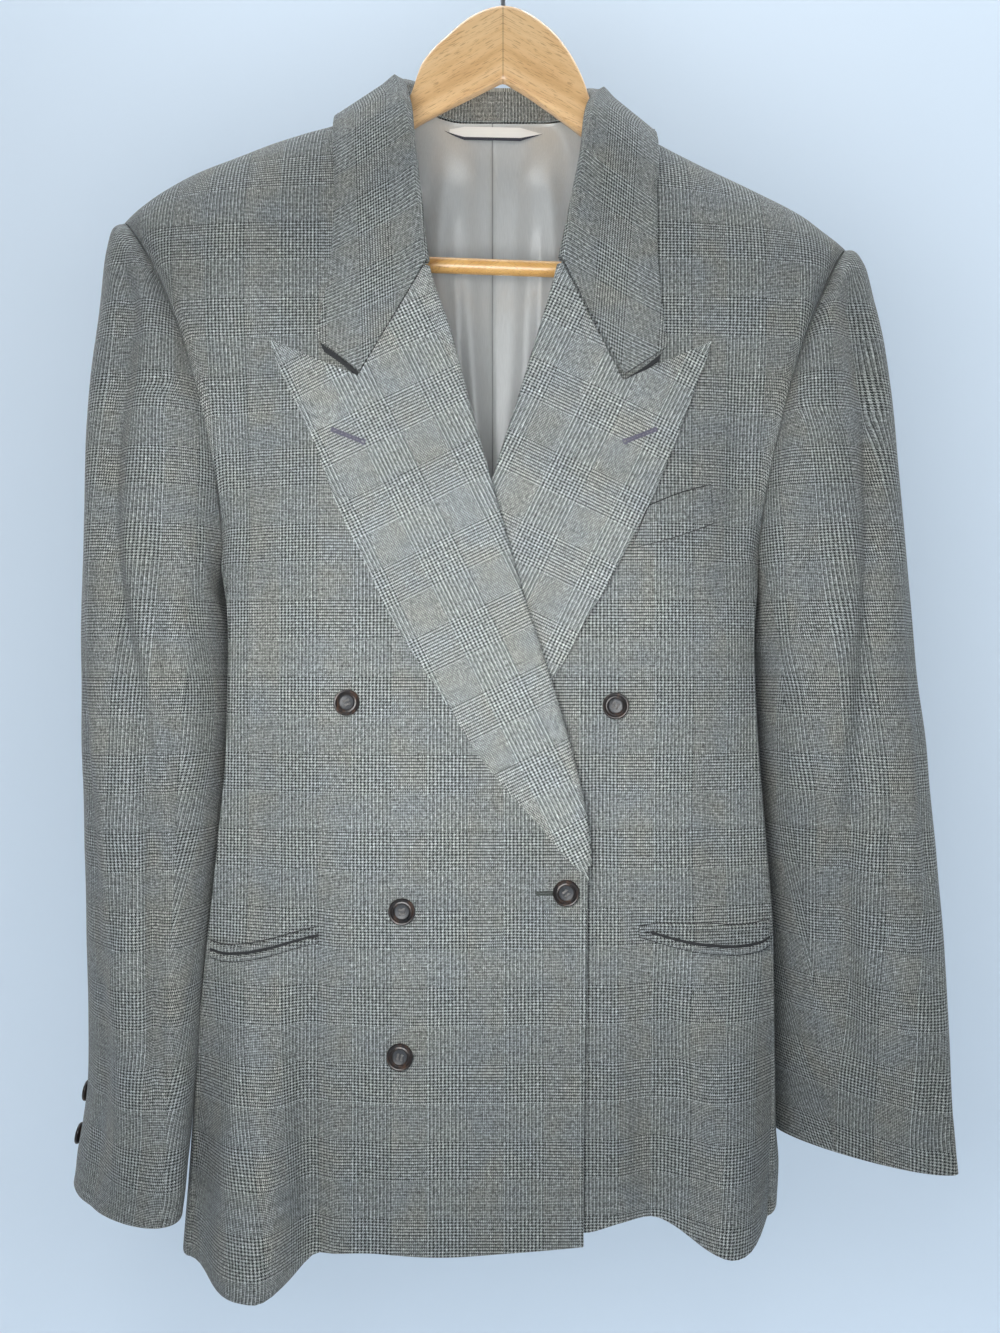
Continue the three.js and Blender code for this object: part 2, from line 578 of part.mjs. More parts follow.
// Lining inside the back, hung just off the cloth.
const LINING_OFF = 3.0;
const LINING_COLUMNS = 9;
const liningGrid = (panel) => panel.slice(1, -1).map((row, i) =>
  row.slice(0, LINING_COLUMNS).map((cell, j) => {
    const wave = 0.9 * (1 + Math.cos(j * 2.6)) * smooth(22, 12, i);
    return { p: addScaled(cell.p, cell.dir, LINING_OFF + wave), dir: cell.dir };
  }));
const leftBack = backGrid(LEFT);
const rightBack = backGrid(RIGHT);

// A strip lying on a surface: two corner lists of x, z, moved out by off.
const stripGrid = (surface, top, bottom, off, steps) => {
  const rows = [];
  for (const t of [0, 0.5, 1]) {
    rows.push(Array.from({ length: steps + 1 }, (_, k) => {
      const u = k / steps;
      const at = (line) => {
        const scaled = u * (line.length - 1);
        const i = Math.min(Math.floor(scaled), line.length - 2);
        return mixPoint(line[i], line[i + 1], scaled - i);
      };
      const [x, z] = mixPoint(at(top), at(bottom), t);
      return [x, surface(x, z) - off, z];
    }));
  }
  return rows;
};
const addStrip = (name, colour, strip) => {
  const steps = strip.steps ?? 6;
  const outer = stripGrid(strip.surface, strip.top, strip.bottom, strip.off + strip.thick, steps);
  const inner = stripGrid(strip.surface, strip.top, strip.bottom, strip.off, steps);
  add(name, colour, wallGeometry(outer, inner));
};

// Closed shape turned about an axis through a centre, from radius and height pairs.
const turned = (centre, axis, profile, segments) => {
  const normal = unit(axis);
  const seed = Math.abs(normal[2]) < 0.9 ? [0, 0, 1] : [1, 0, 0];
  const e1 = unit(addScaled(seed, normal, -dot(seed, normal)));
  const e2 = [
    normal[1] * e1[2] - normal[2] * e1[1],
    normal[2] * e1[0] - normal[0] * e1[2],
    normal[0] * e1[1] - normal[1] * e1[0],
  ];
  const points = [addScaled(centre, normal, profile[0][1])];
  const last = profile[profile.length - 1];
  points.push(addScaled(centre, normal, last[1]));
  const ringStart = (k) => 2 + (k - 1) * segments;
  for (let k = 1; k + 1 < profile.length; k += 1) {
    for (let s = 0; s < segments; s += 1) {
      const a = (2 * Math.PI * s) / segments;
      const base = addScaled(centre, normal, profile[k][1]);
      const across = addScaled(base, e1, profile[k][0] * Math.cos(a));
      points.push(addScaled(across, e2, profile[k][0] * Math.sin(a)));
    }
  }
  const index = [];
  const rings = profile.length - 2;
  for (let s = 0; s < segments; s += 1) {
    const t = (s + 1) % segments;
    index.push(0, ringStart(1) + t, ringStart(1) + s);
    index.push(1, ringStart(rings) + s, ringStart(rings) + t);
    for (let k = 1; k < rings; k += 1) {
      const a = ringStart(k) + s;
      const b = ringStart(k) + t;
      index.push(a, b, b + segments, a, b + segments, a + segments);
    }
  }
  return makeGeometry(points, index);
};

// Round rod along a path, with flat ends.
const rod = (path, radius, segments) => {
  const points = [];
  const index = [];
  const side = [0, 1, 0];
  path.forEach((p, k) => {
    const before = path[Math.max(0, k - 1)];
    const after = path[Math.min(path.length - 1, k + 1)];
    const t = unit(sub(after, before));
    const across = unit([t[1] * side[2] - t[2] * side[1], t[2] * side[0] - t[0] * side[2],
      t[0] * side[1] - t[1] * side[0]]);
    for (let s = 0; s < segments; s += 1) {
      const a = (2 * Math.PI * s) / segments;
      points.push(addScaled(addScaled(p, across, radius * Math.cos(a)), side, radius * Math.sin(a)));
    }
  });
  for (let k = 0; k + 1 < path.length; k += 1) {
    for (let s = 0; s < segments; s += 1) {
      const t = (s + 1) % segments;
      const a = k * segments;
      index.push(a + s, a + t, a + segments + t, a + s, a + segments + t, a + segments + s);
    }
  }
  const end = (path.length - 1) * segments;
  for (let s = 1; s + 1 < segments; s += 1) {
    index.push(0, s + 1, s);
    index.push(end, end + s, end + s + 1);
  }
  return makeGeometry(points, index);
};

// Body, sleeves, lapels and collar.
addWall("front_left", "cloth", leftPanel, CLOTH_T);
addWall("front_right", "cloth", rightPanel, CLOTH_T);
addWall("side_left", "cloth", sideGrid(LEFT), CLOTH_T);
addWall("side_right", "cloth", sideGrid(RIGHT), CLOTH_T);
addWall("back_left", "cloth", leftBack, CLOTH_T);
addWall("back_right", "cloth", rightBack, CLOTH_T);
addSleeve(LEFT, "left");
addSleeve(RIGHT, "right");
const leftLapel = lapelGrids(LAPELS.left);
const rightLapel = lapelGrids(LAPELS.right);
add("lapel_left", "clothLight", wallGeometry(leftLapel.outer, leftLapel.inner));
add("lapel_right", "clothLight", wallGeometry(rightLapel.outer, rightLapel.inner));
const collar = collarGrids();
add("collar", "clothLight", wallGeometry(collar.outer, collar.inner));
addWall("collar_stand", "clothLight", standGrid(), CLOTH_T);
addWall("lining_left", "lining", liningGrid(leftBack), LINING_T);
addWall("lining_right", "lining", liningGrid(rightBack), LINING_T);

// Pockets, each strip given by its upper and lower x, z line.
const SEAT = 0.8;
addStrip("breast_welt", "clothLight", {
  surface: onRight, off: SEAT, thick: 2, steps: 5,
  top: [[104, -459], [127, -449], [151, -441]],
  bottom: [[92, -489], [122, -481], [152, -471]],
});
addStrip("jet_upper_left", "cloth", {
  surface: onLeft, off: SEAT, thick: 2, steps: 10,
  top: [[-133, -756], [-152, -759], [-168, -762], [-186, -765], [-201, -765]],
  bottom: [[-133, -761], [-152, -764.5], [-168, -768], [-186, -771], [-201, -771]],
});
addStrip("jet_lower_left", "cloth", {
  surface: onLeft, off: SEAT, thick: 2, steps: 10,
  top: [[-133, -761.6], [-152, -765.2], [-168, -769], [-186, -772], [-201, -772]],
  bottom: [[-133, -766.5], [-152, -770.5], [-168, -774], [-186, -777], [-201, -777]],
});
const JET_LINE = [[98, -755], [120, -752], [147, -753], [172, -755], [188, -754]];
const LOWER_LINE = [[98, -763], [118, -769], [142, -774], [168, -775], [188, -766]];
const shift = (line, dz) => line.map(([x, z]) => [x, z + dz]);
addStrip("jet_upper_right", "cloth", {
  surface: onRight, off: SEAT, thick: 2, steps: 8, top: JET_LINE, bottom: shift(JET_LINE, -5),
});
addStrip("pocket_facing_right", "cloth", {
  surface: onRight, off: SEAT, thick: 0.9, steps: 8, top: shift(JET_LINE, -5.6), bottom: shift(LOWER_LINE, 0.6),
});
addStrip("jet_lower_right", "cloth", {
  surface: onRight, off: SEAT, thick: 2, steps: 8, top: LOWER_LINE, bottom: shift(LOWER_LINE, -5),
});

// Buttons: radius and height pairs, from the back pole to the dished face.
const BUTTON = [
  [0, 0], [7.6, 0], [9.5, 1.3], [9.5, 2.9], [8.4, 3.7], [7.4, 2.9], [6.2, 2.9], [5.2, 1.9], [0, 1.8],
];
const BUTTON_SEGMENTS = 12;
const BUTTON_SEAT = 0.5;
const CUFF_SEAT = 0.6;
const cuffScale = 0.84;
const addButton = (name, centre, axis, scale) => {
  const profile = BUTTON.map(([r, h]) => [r * scale, h * scale]);
  add(name, "horn", turned(centre, axis, profile, BUTTON_SEGMENTS));
};
const tilt = (surface, x, z) => {
  const step = 6;
  const dx = (surface(x + step, z) - surface(x - step, z)) / (2 * step);
  const dz = (surface(x, z + step) - surface(x, z - step)) / (2 * step);
  return [dx, -1, dz];
};
const FRONT_BUTTONS = [
  { name: "button_top_left", x: -111, z: -596.4, surface: onLeft },
  { name: "button_top_right", x: 80.4, z: -598.7, surface: onRight },
  { name: "button_mid_left", x: -71.5, z: -743.5, surface: onLeft },
  { name: "button_fastened", x: 44.3, z: -730.4, surface: onLeft },
  { name: "button_low_left", x: -73.1, z: -846.9, surface: onLeft },
];
FRONT_BUTTONS.forEach(({ name, x, z, surface }) => {
  addButton(name, [x, surface(x, z) - BUTTON_SEAT, z], tilt(surface, x, z), 1);
});

// Buttons by the vent of each sleeve, on its outer back.
const sleeveAt = (side, z, deg) => {
  const rows = side.sleeve;
  const i = rows.findIndex((row, k) => k > 0 && (row.outZ + row.inZ) / 2 <= z);
  const [a, b] = [rows[i - 1], rows[i]];
  const mid = (row) => (row.outZ + row.inZ) / 2;
  const t = (z - mid(a)) / (mid(b) - mid(a));
  return mixPoint(sleevePoint(a, deg, 0), sleevePoint(b, deg, 0), t);
};
const CUFF_BUTTONS = [
  { name: "cuff_button_left_1", side: LEFT, z: -899, deg: 99 },
  { name: "cuff_button_left_2", side: LEFT, z: -929, deg: 99 },
  { name: "cuff_button_right_1", side: RIGHT, z: -870, deg: 152 },
  { name: "cuff_button_right_2", side: RIGHT, z: -899, deg: 152 },
];
CUFF_BUTTONS.forEach(({ name, side, z, deg }) => {
  const here = sleeveAt(side, z, deg);
  const along = sub(sleeveAt(side, z, deg + 4), sleeveAt(side, z, deg - 4));
  const down = sub(sleeveAt(side, z - 8, deg), sleeveAt(side, z + 8, deg));
  const face = new THREE.Vector3(...along).cross(new THREE.Vector3(...down)).normalize();
  const out = face.toArray().map((v) => v * (face.x * side.sign > 0 ? 1 : -1));
  addButton(name, addScaled(here, out, CUFF_SEAT), out, cuffScale);
});

// Blank label at the neck: a long hexagon on the lining.
const LABEL_OFF = 0.35;
const LABEL_T = 0.8;
const LABEL_TOP_Z = -141;
const insideOf = (grid) => heightOn(grid.map((row) => row.map((c) => ({ p: addScaled(c.p, c.dir, LINING_T) }))), backY);
const onLeftLining = insideOf(liningGrid(leftBack));
const onRightLining = insideOf(liningGrid(rightBack));
const onLining = (x, z) => (x < 0 ? onLeftLining(x, z) : onRightLining(x, z));
const labelHalf = [[-49, 0], [-31, 4.6], [14, 4.6], [32, 0]];
const labelGrid = (extra) => [1, 0, -1].map((k) => labelHalf.map(([x, h]) => {
  const z = lookUp([[-49, -138.5], [32, -140]], x) + k * (h + 0.4);
  return [x, onLining(x, LABEL_TOP_Z) - LABEL_OFF - extra, z];
}));
add("label", "label", wallGeometry(labelGrid(LABEL_T), labelGrid(0)));

// Hanger: x, top z, bottom z of the wood.
const ARM_CLEAR = 0.45;
const HANGER_ROWS = [
  [-236, null, -219], [-230, null, -246], [-218, null, -268], [-204, null, -274], 
  [-178.6, null, -269], [-178, null, -243], [-145, null, -206], [-112, null, -182], [-86, null, -164], [-75, -137, -158.5],
  [-72, -133, -156.5], [-62, -105.7, -150.5], [-42, -84, -140], [-22, -68.5, -130], [-7, -63, -122.5],
  [0, -62, -119.5], [7, -62.8, -123], [17, -66.3, -129], [37, -80.4, -143], [52, -99.3, -154],
  [61, -117, -161], [67, -134.5, -167], [69.5, -143, -169], [74, -147, -171], [84, null, -177], [112, null, -197], [145, null, -221],
  [178, null, -256], [178.6, null, -283], [204, null, -288], [216, null, -280], [226, null, -258],
  [231, null, -236],
];
const WOOD_HALF = 6;
const hangerGeometry = () => {
  const rings = HANGER_ROWS.map(([x, topZ, bottomZ]) => {
    const top = topZ ?? ridgeZ(x) - CLOTH_T - ARM_CLEAR - 2 * smooth(190, 232, Math.abs(x));
    const end = Math.abs(x) > 229 ? 0.7 : 1;
    const soft = Math.min(4, (top - bottomZ) / 3);
    const h = WOOD_HALF * end;
    const halves = [
      [0, top], [h * 0.62, top - soft * 0.35], [h, top - soft], [h, bottomZ + soft],
      [h * 0.62, bottomZ + soft * 0.35], [0, bottomZ],
    ];
    const ring = [...halves, ...halves.slice(1, -1).reverse().map(([y, z]) => [-y, z])];
    return ring.map(([y, z]) => [x, RIDGE_Y + y, z]);
  });
  const n = rings[0].length;
  const index = [];
  for (let i = 0; i + 1 < rings.length; i += 1) {
    for (let s = 0; s < n; s += 1) {
      const t = (s + 1) % n;
      index.push(i * n + s, i * n + t, (i + 1) * n + t, i * n + s, (i + 1) * n + t, (i + 1) * n + s);
    }
  }
  const end = (rings.length - 1) * n;
  for (let s = 1; s + 1 < n; s += 1) {
    index.push(0, s + 1, s);
    index.push(end, end + s, end + s + 1);
  }
  return makeGeometry(rings.flat(), index);
};
add("hanger_body", "wood", hangerGeometry());

// The bar runs between the two drops of the hanger body, a hair off each.
const BAR_R = 6;
add("hanger_bar", "wood", rod([[-177.5, RIDGE_Y, -256], [177.5, RIDGE_Y, -269]], BAR_R, 14));

const HOOK = { wire: 2.1, bend: 23, stemTop: -44, foot: -61.7 };
const hookPath = () => {
  const path = [[0, RIDGE_Y, HOOK.foot], [0, RIDGE_Y, -54]];
  const centreZ = HOOK.wire - HOOK.bend;
  for (let deg = -78; deg <= 196; deg += 15.2) {
    path.push([HOOK.bend * Math.cos(rad(deg)), RIDGE_Y, centreZ + HOOK.bend * Math.sin(rad(deg))]);
  }
  return path;
};
add("hanger_hook", "metal", rod(hookPath(), HOOK.wire, 8));

group.name = "blazer_on_hanger";
export default group;
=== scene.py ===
# Double breasted blazer on a wooden hanger. Sizes are millimetres until a mesh is made, then metres.
import math
from bisect import bisect_right

import bmesh
import bpy
from mathutils import Matrix, Vector, noise


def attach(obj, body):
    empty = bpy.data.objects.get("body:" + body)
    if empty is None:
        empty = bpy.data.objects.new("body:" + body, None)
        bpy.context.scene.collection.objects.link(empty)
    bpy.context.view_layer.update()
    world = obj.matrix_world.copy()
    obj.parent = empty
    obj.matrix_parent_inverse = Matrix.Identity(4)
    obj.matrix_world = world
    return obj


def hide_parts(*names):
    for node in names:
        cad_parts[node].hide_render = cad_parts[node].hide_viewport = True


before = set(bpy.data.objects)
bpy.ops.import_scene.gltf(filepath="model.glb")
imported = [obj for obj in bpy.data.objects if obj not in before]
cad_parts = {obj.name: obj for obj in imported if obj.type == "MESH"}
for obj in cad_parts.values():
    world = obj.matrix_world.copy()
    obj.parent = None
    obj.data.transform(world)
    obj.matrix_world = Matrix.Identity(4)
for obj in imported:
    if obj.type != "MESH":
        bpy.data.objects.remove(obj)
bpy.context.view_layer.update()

mm = 0.001
print("frame loaded")


def clamp(v, low, high):
    return min(high, max(low, v))


def mix(a, b, t):
    return a + (b - a) * t


def smooth(a, b, v):
    t = clamp((v - a) / (b - a), 0, 1)
    return t * t * (3 - 2 * t)


def hump(v, centre, half, power=2):
    return math.exp(-(abs((v - centre) / half) ** power))


def curve(rows):
    # a smooth line through pairs of key and value, with no overshoot
    rows = sorted(rows)
    keys = [r[0] for r in rows]
    vals = [r[1] for r in rows]
    steps = [(vals[i + 1] - vals[i]) / (keys[i + 1] - keys[i]) for i in range(len(rows) - 1)]
    inner = [0 if a * b <= 0 else 2 * a * b / (a + b) for a, b in zip(steps, steps[1:])]
    slopes = [steps[0], *inner, steps[-1]]

    def at(key):
        key = clamp(key, keys[0], keys[-1])
        i = clamp(bisect_right(keys, key) - 1, 0, len(keys) - 2)
        h = keys[i + 1] - keys[i]
        t = (key - keys[i]) / h
        rise = (3 - 2 * t) * t * t
        return (vals[i] * (1 - rise) + vals[i + 1] * rise
                + h * t * (1 - t) * (slopes[i] * (1 - t) - slopes[i + 1] * t))

    return at


# How the blazer hangs: shoulder ridge, front edges, seams and hem, as the solids have them.
form = dict(shoulderDrop=95, frontDepth=50, backDepth=46, coreHalf=150, coreBelow=60, underarm=-55, hemZ=-990,
            armShare=0.56, middleX=-8, seamPull=24, weaveLevel=-600, cloth=2.0, lapel=3.0)
ridge = curve([
    (-292, -230), (-275, -218), (-257, -206), (-232, -192.5), (-200, -180), (-174, -170), (-147, -161.5),
    (-122, -154.5), (-80, -132), (-50, -129), (50, -134), (75, -141), (112, -167), (144, -184),
    (190, -206), (225, -224), (246, -239), (264, -250.5)])

left = dict(
    sign=-1, neckX=-79, rollTop=-131, splitFront=-40.5, splitBack=104.5,
    roll=curve([(-131, -79), (-150, -72), (-188, -67.4), (-231, -62), (-278, -56.5), (-328, -40.4), (-387, -25),
                (-444, -9.5), (-523, 12.7), (-567, 27), (-621, 43), (-657, 52.4), (-686, 58), (-714, 60),
                (-808, 59), (-901, 57.6), (-995, 57)]),
    seam=curve([(-473, -210.2), (-490, -207), (-515, -203), (-545, -201), (-620, -202), (-700, -209), (-790, -217),
                (-880, -221.5), (-940, -224), (-995, -229)]),
    side=curve([(-500, -215), (-512, -210), (-530, -206), (-560, -204.5), (-620, -205), (-676, -208), (-727, -212),
                (-787, -219), (-840, -225), (-900, -230), (-945, -234), (-968, -236), (-995, -238)]),
    backSeam=curve([(-473, -210.2), (-490, -207), (-515, -202.5), (-545, -200), (-620, -200), (-700, -210),
                    (-760, -226), (-840, -240), (-900, -242), (-995, -244)]),
    hem=curve([(58, -983), (12, -987), (-45, -990.5), (-103, -988), (-132, -991), (-150, -999), (-170, -1001),
               (-200, -1001), (-228, -1000), (-250, -985)]),
    seamY=curve([(-470, -28), (-510, -38), (-600, -42), (-720, -44), (-850, -46), (-995, -46)]))
right = dict(
    sign=1, neckX=75, rollTop=-139, splitFront=-55, splitBack=162.5,
    roll=curve([(-139, 71), (-158, 64), (-196, 59), (-234, 51.6), (-277, 42.6), (-357, 19.3), (-444, -8),
                (-580, -49), (-715, -90), (-995, -92)]),
    seam=curve([(-493, 190.4), (-510, 187.4), (-533, 184), (-565, 182.5), (-620, 184), (-700, 190), (-770, 196),
                (-880, 197), (-995, 194)]),
    side=curve([(-515, 193), (-527, 190), (-545, 188), (-580, 188.5), (-650, 192.5), (-700, 196.5), (-750, 200),
                (-800, 202), (-870, 203.5), (-925, 205), (-960, 208), (-995, 206)]),
    backSeam=curve([(-493, 190.4), (-510, 187.4), (-533, 184), (-565, 182.5), (-620, 184), (-700, 188), (-770, 192),
                    (-880, 194), (-995, 196)]),
    hem=curve([(-92, -977), (58, -976), (85, -970), (107, -969), (121, -972), (145, -980), (164, -982), (184, -978),
               (206, -968)]),
    seamY=curve([(-485, -28), (-525, -38), (-600, -42), (-720, -44), (-850, -42), (-995, -40)]))

# Sleeve sections from armhole to cuff, one column for each row of the solids.
sleeveKeys = ["outX", "outZ", "inX", "inZ", "frontY", "backY", "bow", "frontShift", "outBack"]


def sleeveCurves(rows):
    return {key: curve([(i, row[k]) for i, row in enumerate(rows)]) for k, key in enumerate(sleeveKeys)}


left["sleeve"] = sleeveCurves([
    (-292, -230, -216, -505, -43, 43, 29, 0, 0), (-298, -236, -217, -515, -54, 46, 22, 0, 0),
    (-303, -256, -214.5, -526, -60, 50, 15, 0, 0), (-308, -309, -211, -537, -64, 55, 8, 0, 0),
    (-313, -364, -210, -552, -67, 58, 3, 0, 0), (-315, -419, -209, -568, -69, 60, 0, 0, 0),
    (-316.5, -488, -208, -594, -71, 61, 0, 0, 0), (-318, -558, -209, -630, -73, 60, 0, 0, 2),
    (-317.5, -627, -212, -678, -75, 57, 0, 0, 6), (-317, -695, -216, -729, -76, 52, 0, 1, 11),
    (-317, -771, -220, -789, -77, 44, 0, 3, 17), (-318, -832, -222, -842, -78, 36, 0, 6, 22),
    (-320, -887, -223, -886, -80, 28, 0, 8, 27), (-327, -938, -224, -929, -83, 20, 0, 10, 30),
    (-331, -965, -226, -957, -86, 16, 0, 11, 32)])
right["sleeve"] = sleeveCurves([
    (264, -250.5, 194, -520, -43, 43, 23, 0, 0), (269, -254, 194.5, -529, -54, 46, 18, 0, 0),
    (276, -264, 193, -539, -59, 50, 12, 0, 0), (284, -297, 193, -550, -62, 55, 6, 0, 0),
    (291.5, -343, 194, -563, -64, 58, 2, 0, 0), (297.5, -402, 195, -581, -66, 60, 0, 0, 0),
    (304.5, -481, 196, -609, -69, 61, 0, 0, 0), (309, -558, 198, -649, -72, 60, 0, -1, -2),
    (313, -626, 200, -693, -75, 57, 0, -5, -6), (314, -690, 203, -739, -77, 52, 0, -10, -12),
    (315, -757, 206, -787, -79, 45, 0, -15, -18), (315, -824, 208, -839, -80, 36, 0, -20, -24),
    (314, -876, 210, -886, -82, 28, 0, -25, -28), (315, -903, 212, -913, -83, 22, 0, -27, -30),
    (316, -920, 213, -932, -84, 16, 0, -28, -30)])
lastRow = 14
sides = dict(left=left, right=right)

# Soft creases: start x, z, end x, z, sideways bow, half width, depth (a ridge below 0).
frontCreases = [
    (-150, -800, -136, -985, 4, 9, 4.6), (-186, -792, -196, -960, -3, 10, -3.2),
    (-112, -815, -96, -975, 3, 13, 2.2), (-60, -770, -70, -930, -4, 16, -1.6),
    (20, -745, -40, -800, -5, 9, 1.6), (30, -770, 22, -960, 3, 15, 1.5), (74, -612, 70, -735, 4, 9, 3.4),
    (100, -640, 112, -745, 3, 12, -2.0), (150, -650, 146, -742, -4, 12, 2.4), (78, -785, 84, -960, 3, 12, -2.2),
    (112, -800, 142, -965, -5, 10, 4.4), (-170, -560, -184, -735, 5, 12, 2.6),
    (-140, -640, -150, -745, -3, 13, -1.6), (-196, -330, -178, -520, 8, 10, 2.8),
    (172, -340, 160, -520, -7, 10, 2.7), (-228, -262, -212, -420, 5, 9, 2.2),
    (205, -280, 188, -430, -5, 9, 2.1), (-60, -600, -20, -700, 4, 11, 1.4)]
backCreases = [
    (-120, -420, -150, -700, 6, 16, -2.4), (118, -430, 136, -690, -6, 15, -2.2),
    (-60, -190, -168, -330, 9, 13, -1.6), (60, -195, 150, -330, -8, 12, -1.5),
    (-40, -560, -52, -960, 5, 18, -2.2), (64, -600, 80, -960, -5, 20, -2.0)]


def creased(creases, x, z):
    total = 0
    for ax, az, bx, bz, bow, half, depth in creases:
        length = math.hypot(bx - ax, bz - az)
        tx, tz = (bx - ax) / length, (bz - az) / length
        s = ((x - ax) * tx + (z - az) * tz) / length
        if -0.25 <= s <= 1.25:
            off = (x - ax) * tz - (z - az) * tx - bow * math.sin(math.pi * clamp(s, 0, 1))
            total += depth * hump(off, 0, half) * smooth(-0.25, 0.3, s) * smooth(1.25, 0.7, s)
    return total


def wander(x, z, size, seed):
    return noise.noise(Vector((x / size, z / size, seed)))


def roundOver(drop):
    return math.sqrt(1 - (1 - clamp(drop / form["shoulderDrop"], 0, 1)) ** 2)


# Swells of the cloth in millimetres. A flute at the hem has a centre, an inner and an outer half width and a depth,
# a valley or the chest a centre, a half width and a depth (the right valley's grows by the last number at the hem),
# and the folds of the back a width, a shift and a depth.
swell = dict(leftFlute=(-174, 26, 42, 50), rightFlute=(165, 30, 34, 36), leftValley=(-136, 12, 5),
             rightValley=(108, 20, 3, 8), chest=(110, 60, 4), chestZ=(-420, 130), backFold=(26, 60, 7),
             frontSide=14, backSide=16, frontWander=1.1, backWander=1.2)


def frontY(x, z):
    drop = ridge(x) - z
    base = form["frontDepth"] * roundOver(drop) + 10 * smooth(-330, -600, z)
    side = swell["frontSide"] * smooth(120, 215, abs(x - form["middleX"])) * smooth(100, 250, drop)
    low = clamp((-720 - z) / 270, 0, 1) ** 1.4
    mid = smooth(-600, -760, z)
    at, inner, outer, deep = swell["leftFlute"]
    flutes = deep * low * hump(x, at, inner if x > at else outer, 3)
    at, inner, outer, deep = swell["rightFlute"]
    flutes += deep * low * hump(x, at, inner if x < at else outer, 2.6)
    at, half, deep = swell["leftValley"]
    valleys = deep * mid * hump(x, at, half)
    at, half, deep, deeper = swell["rightValley"]
    valleys += (deep + deeper * low) * mid * hump(x, at, half)
    at, half, deep = swell["chest"]
    chest = deep * hump(abs(x + 10), at, half) * hump(z, *swell["chestZ"])
    soft = smooth(20, 120, drop) * (creased(frontCreases, x, z) + swell["frontWander"] * wander(x, z, 70, 3))
    return -base + side - flutes + valleys - chest + soft


def backRidge(x):
    return mix(-80, ridge(x), smooth(30, 78, abs(x)))


def backY(x, z):
    drop = backRidge(x) - z
    off = abs(x - form["middleX"])
    side = swell["backSide"] * smooth(110, 215, off) * smooth(80, 220, drop)
    low = clamp((-500 - z) / 490, 0, 1)
    wide, shift, deep = swell["backFold"]
    folds = deep * low * math.cos((x + shift) / wide) * smooth(220, 150, off)
    soft = smooth(20, 120, drop) * (creased(backCreases, x, z) + swell["backWander"] * wander(x, z, 80, 9))
    return (form["backDepth"] + 4 * smooth(-200, -420, z)) * roundOver(drop) - side + folds - soft


def lapLift(x, z):
    under = right["roll"](z)
    return mix(8.5, 5.5, smooth(-725, -860, z)) * smooth(under - 75, under - 7, x)


def overY(x, z):
    return frontY(x, z) - lapLift(x, z)


def outwardOf(p):
    core = Vector((clamp(p[0], -form["coreHalf"], form["coreHalf"]), 0, min(p[2], ridge(p[0]) - form["coreBelow"])))
    return (Vector(p) - core).normalized()


# Sleeve creases: row and degree pairs that the crease runs through, half width and depth in millimetres.
sleeveCreases = {
    "left": [
        ([(1.4, 40), (2, 33), (5.4, 17), (7.2, -9), (9.3, -25), (11.5, -30)], 11, 11),
        ([(3.0, 57), (4, 52), (7, 34), (10, 12), (13, 4)], 13, -3.4),
        ([(3.6, -18), (6, -26), (8.4, -44)], 8, 4.4),
        ([(6.6, 52), (8.2, 38), (9.6, 30)], 9, 3.2),
        ([(8.6, -4), (9.6, 10), (10.4, 28)], 8, 2.8),
        ([(11.0, 20), (12.4, 34), (13.8, 38)], 9, 2.6),
        ([(2.0, 120), (5, 130), (8, 140), (11, 150)], 15, 4.2),
        ([(5.0, 170), (7.5, 185), (10, 190)], 12, 3.4),
    ],
    "right": [
        ([(1.6, 44), (3.5, 31), (5.9, 12.6), (8, -13), (9.2, -32), (11, -38)], 12, 11),
        ([(3.0, 60), (4, 56), (7, 36), (10, 14), (13, 2)], 13, -3.4),
        ([(3.4, -20), (5.6, -24), (8.0, -42)], 8, 4.6),
        ([(6.4, 50), (8.0, 38), (9.4, 34)], 9, 3.4),
        ([(8.4, 2), (9.4, 14), (10.2, 30)], 8, 2.8),
        ([(10.6, 10), (12, 20), (13.6, 24)], 9, 2.6),
        ([(2.2, 118), (5, 128), (8, 142), (11, 156)], 15, 4.0),
        ([(5.2, 172), (7.6, 184), (10, 192)], 12, 3.3),
    ],
}


def sleevePoint(side, row, deg, out=0):
    s = side["sleeve"]
    outer = Vector((s["outX"](row), 0, s["outZ"](row)))
    inner = Vector((s["inX"](row), 0, s["inZ"](row)))
    frontEdge, backEdge = s["frontY"](row), s["backY"](row)
    shift, outBack = s["frontShift"](row), s["outBack"](row)
    centre = (outer + inner) / 2 + Vector((0, (frontEdge + backEdge) / 2, 0))
    half = (outer - inner).length / 2
    up = (outer - inner).normalized()
    toBody = Vector((-up.z * side["sign"], 0, abs(up.x)))
    depth = (backEdge - frontEdge) / 2
    cross = math.sqrt(half ** 2 - shift ** 2) + out
    deep = math.sqrt(depth ** 2 - outBack ** 2) + out
    a = math.radians(deg)
    p = centre + up * cross * math.sin(a) + toBody * s["bow"](row) * abs(math.cos(a)) ** 1.5
    p.x -= side["sign"] * shift * math.cos(a)
    p.y += -deep * math.cos(a) + outBack * math.sin(a)
    return p


def armhole(side, deg):
    s = side["sleeve"]
    up = Vector((s["outX"](0) - s["inX"](0), 0, s["outZ"](0) - s["inZ"](0))).normalized()
    return sleevePoint(side, 0, deg) + Vector((-up.z * side["sign"], 0, abs(up.x))) * 0.3


# Turning a plain grid into a piece of cloth.
def gridOf(columns, rows):
    bm = bmesh.new()
    bmesh.ops.create_grid(bm, x_segments=len(columns) - 1, y_segments=len(rows) - 1, size=1)
    cells = {}
    for vert in bm.verts:
        i = round((vert.co.x + 1) / 2 * (len(columns) - 1))
        j = round((vert.co.y + 1) / 2 * (len(rows) - 1))
        cells[vert] = (i, j)
    return bm, cells


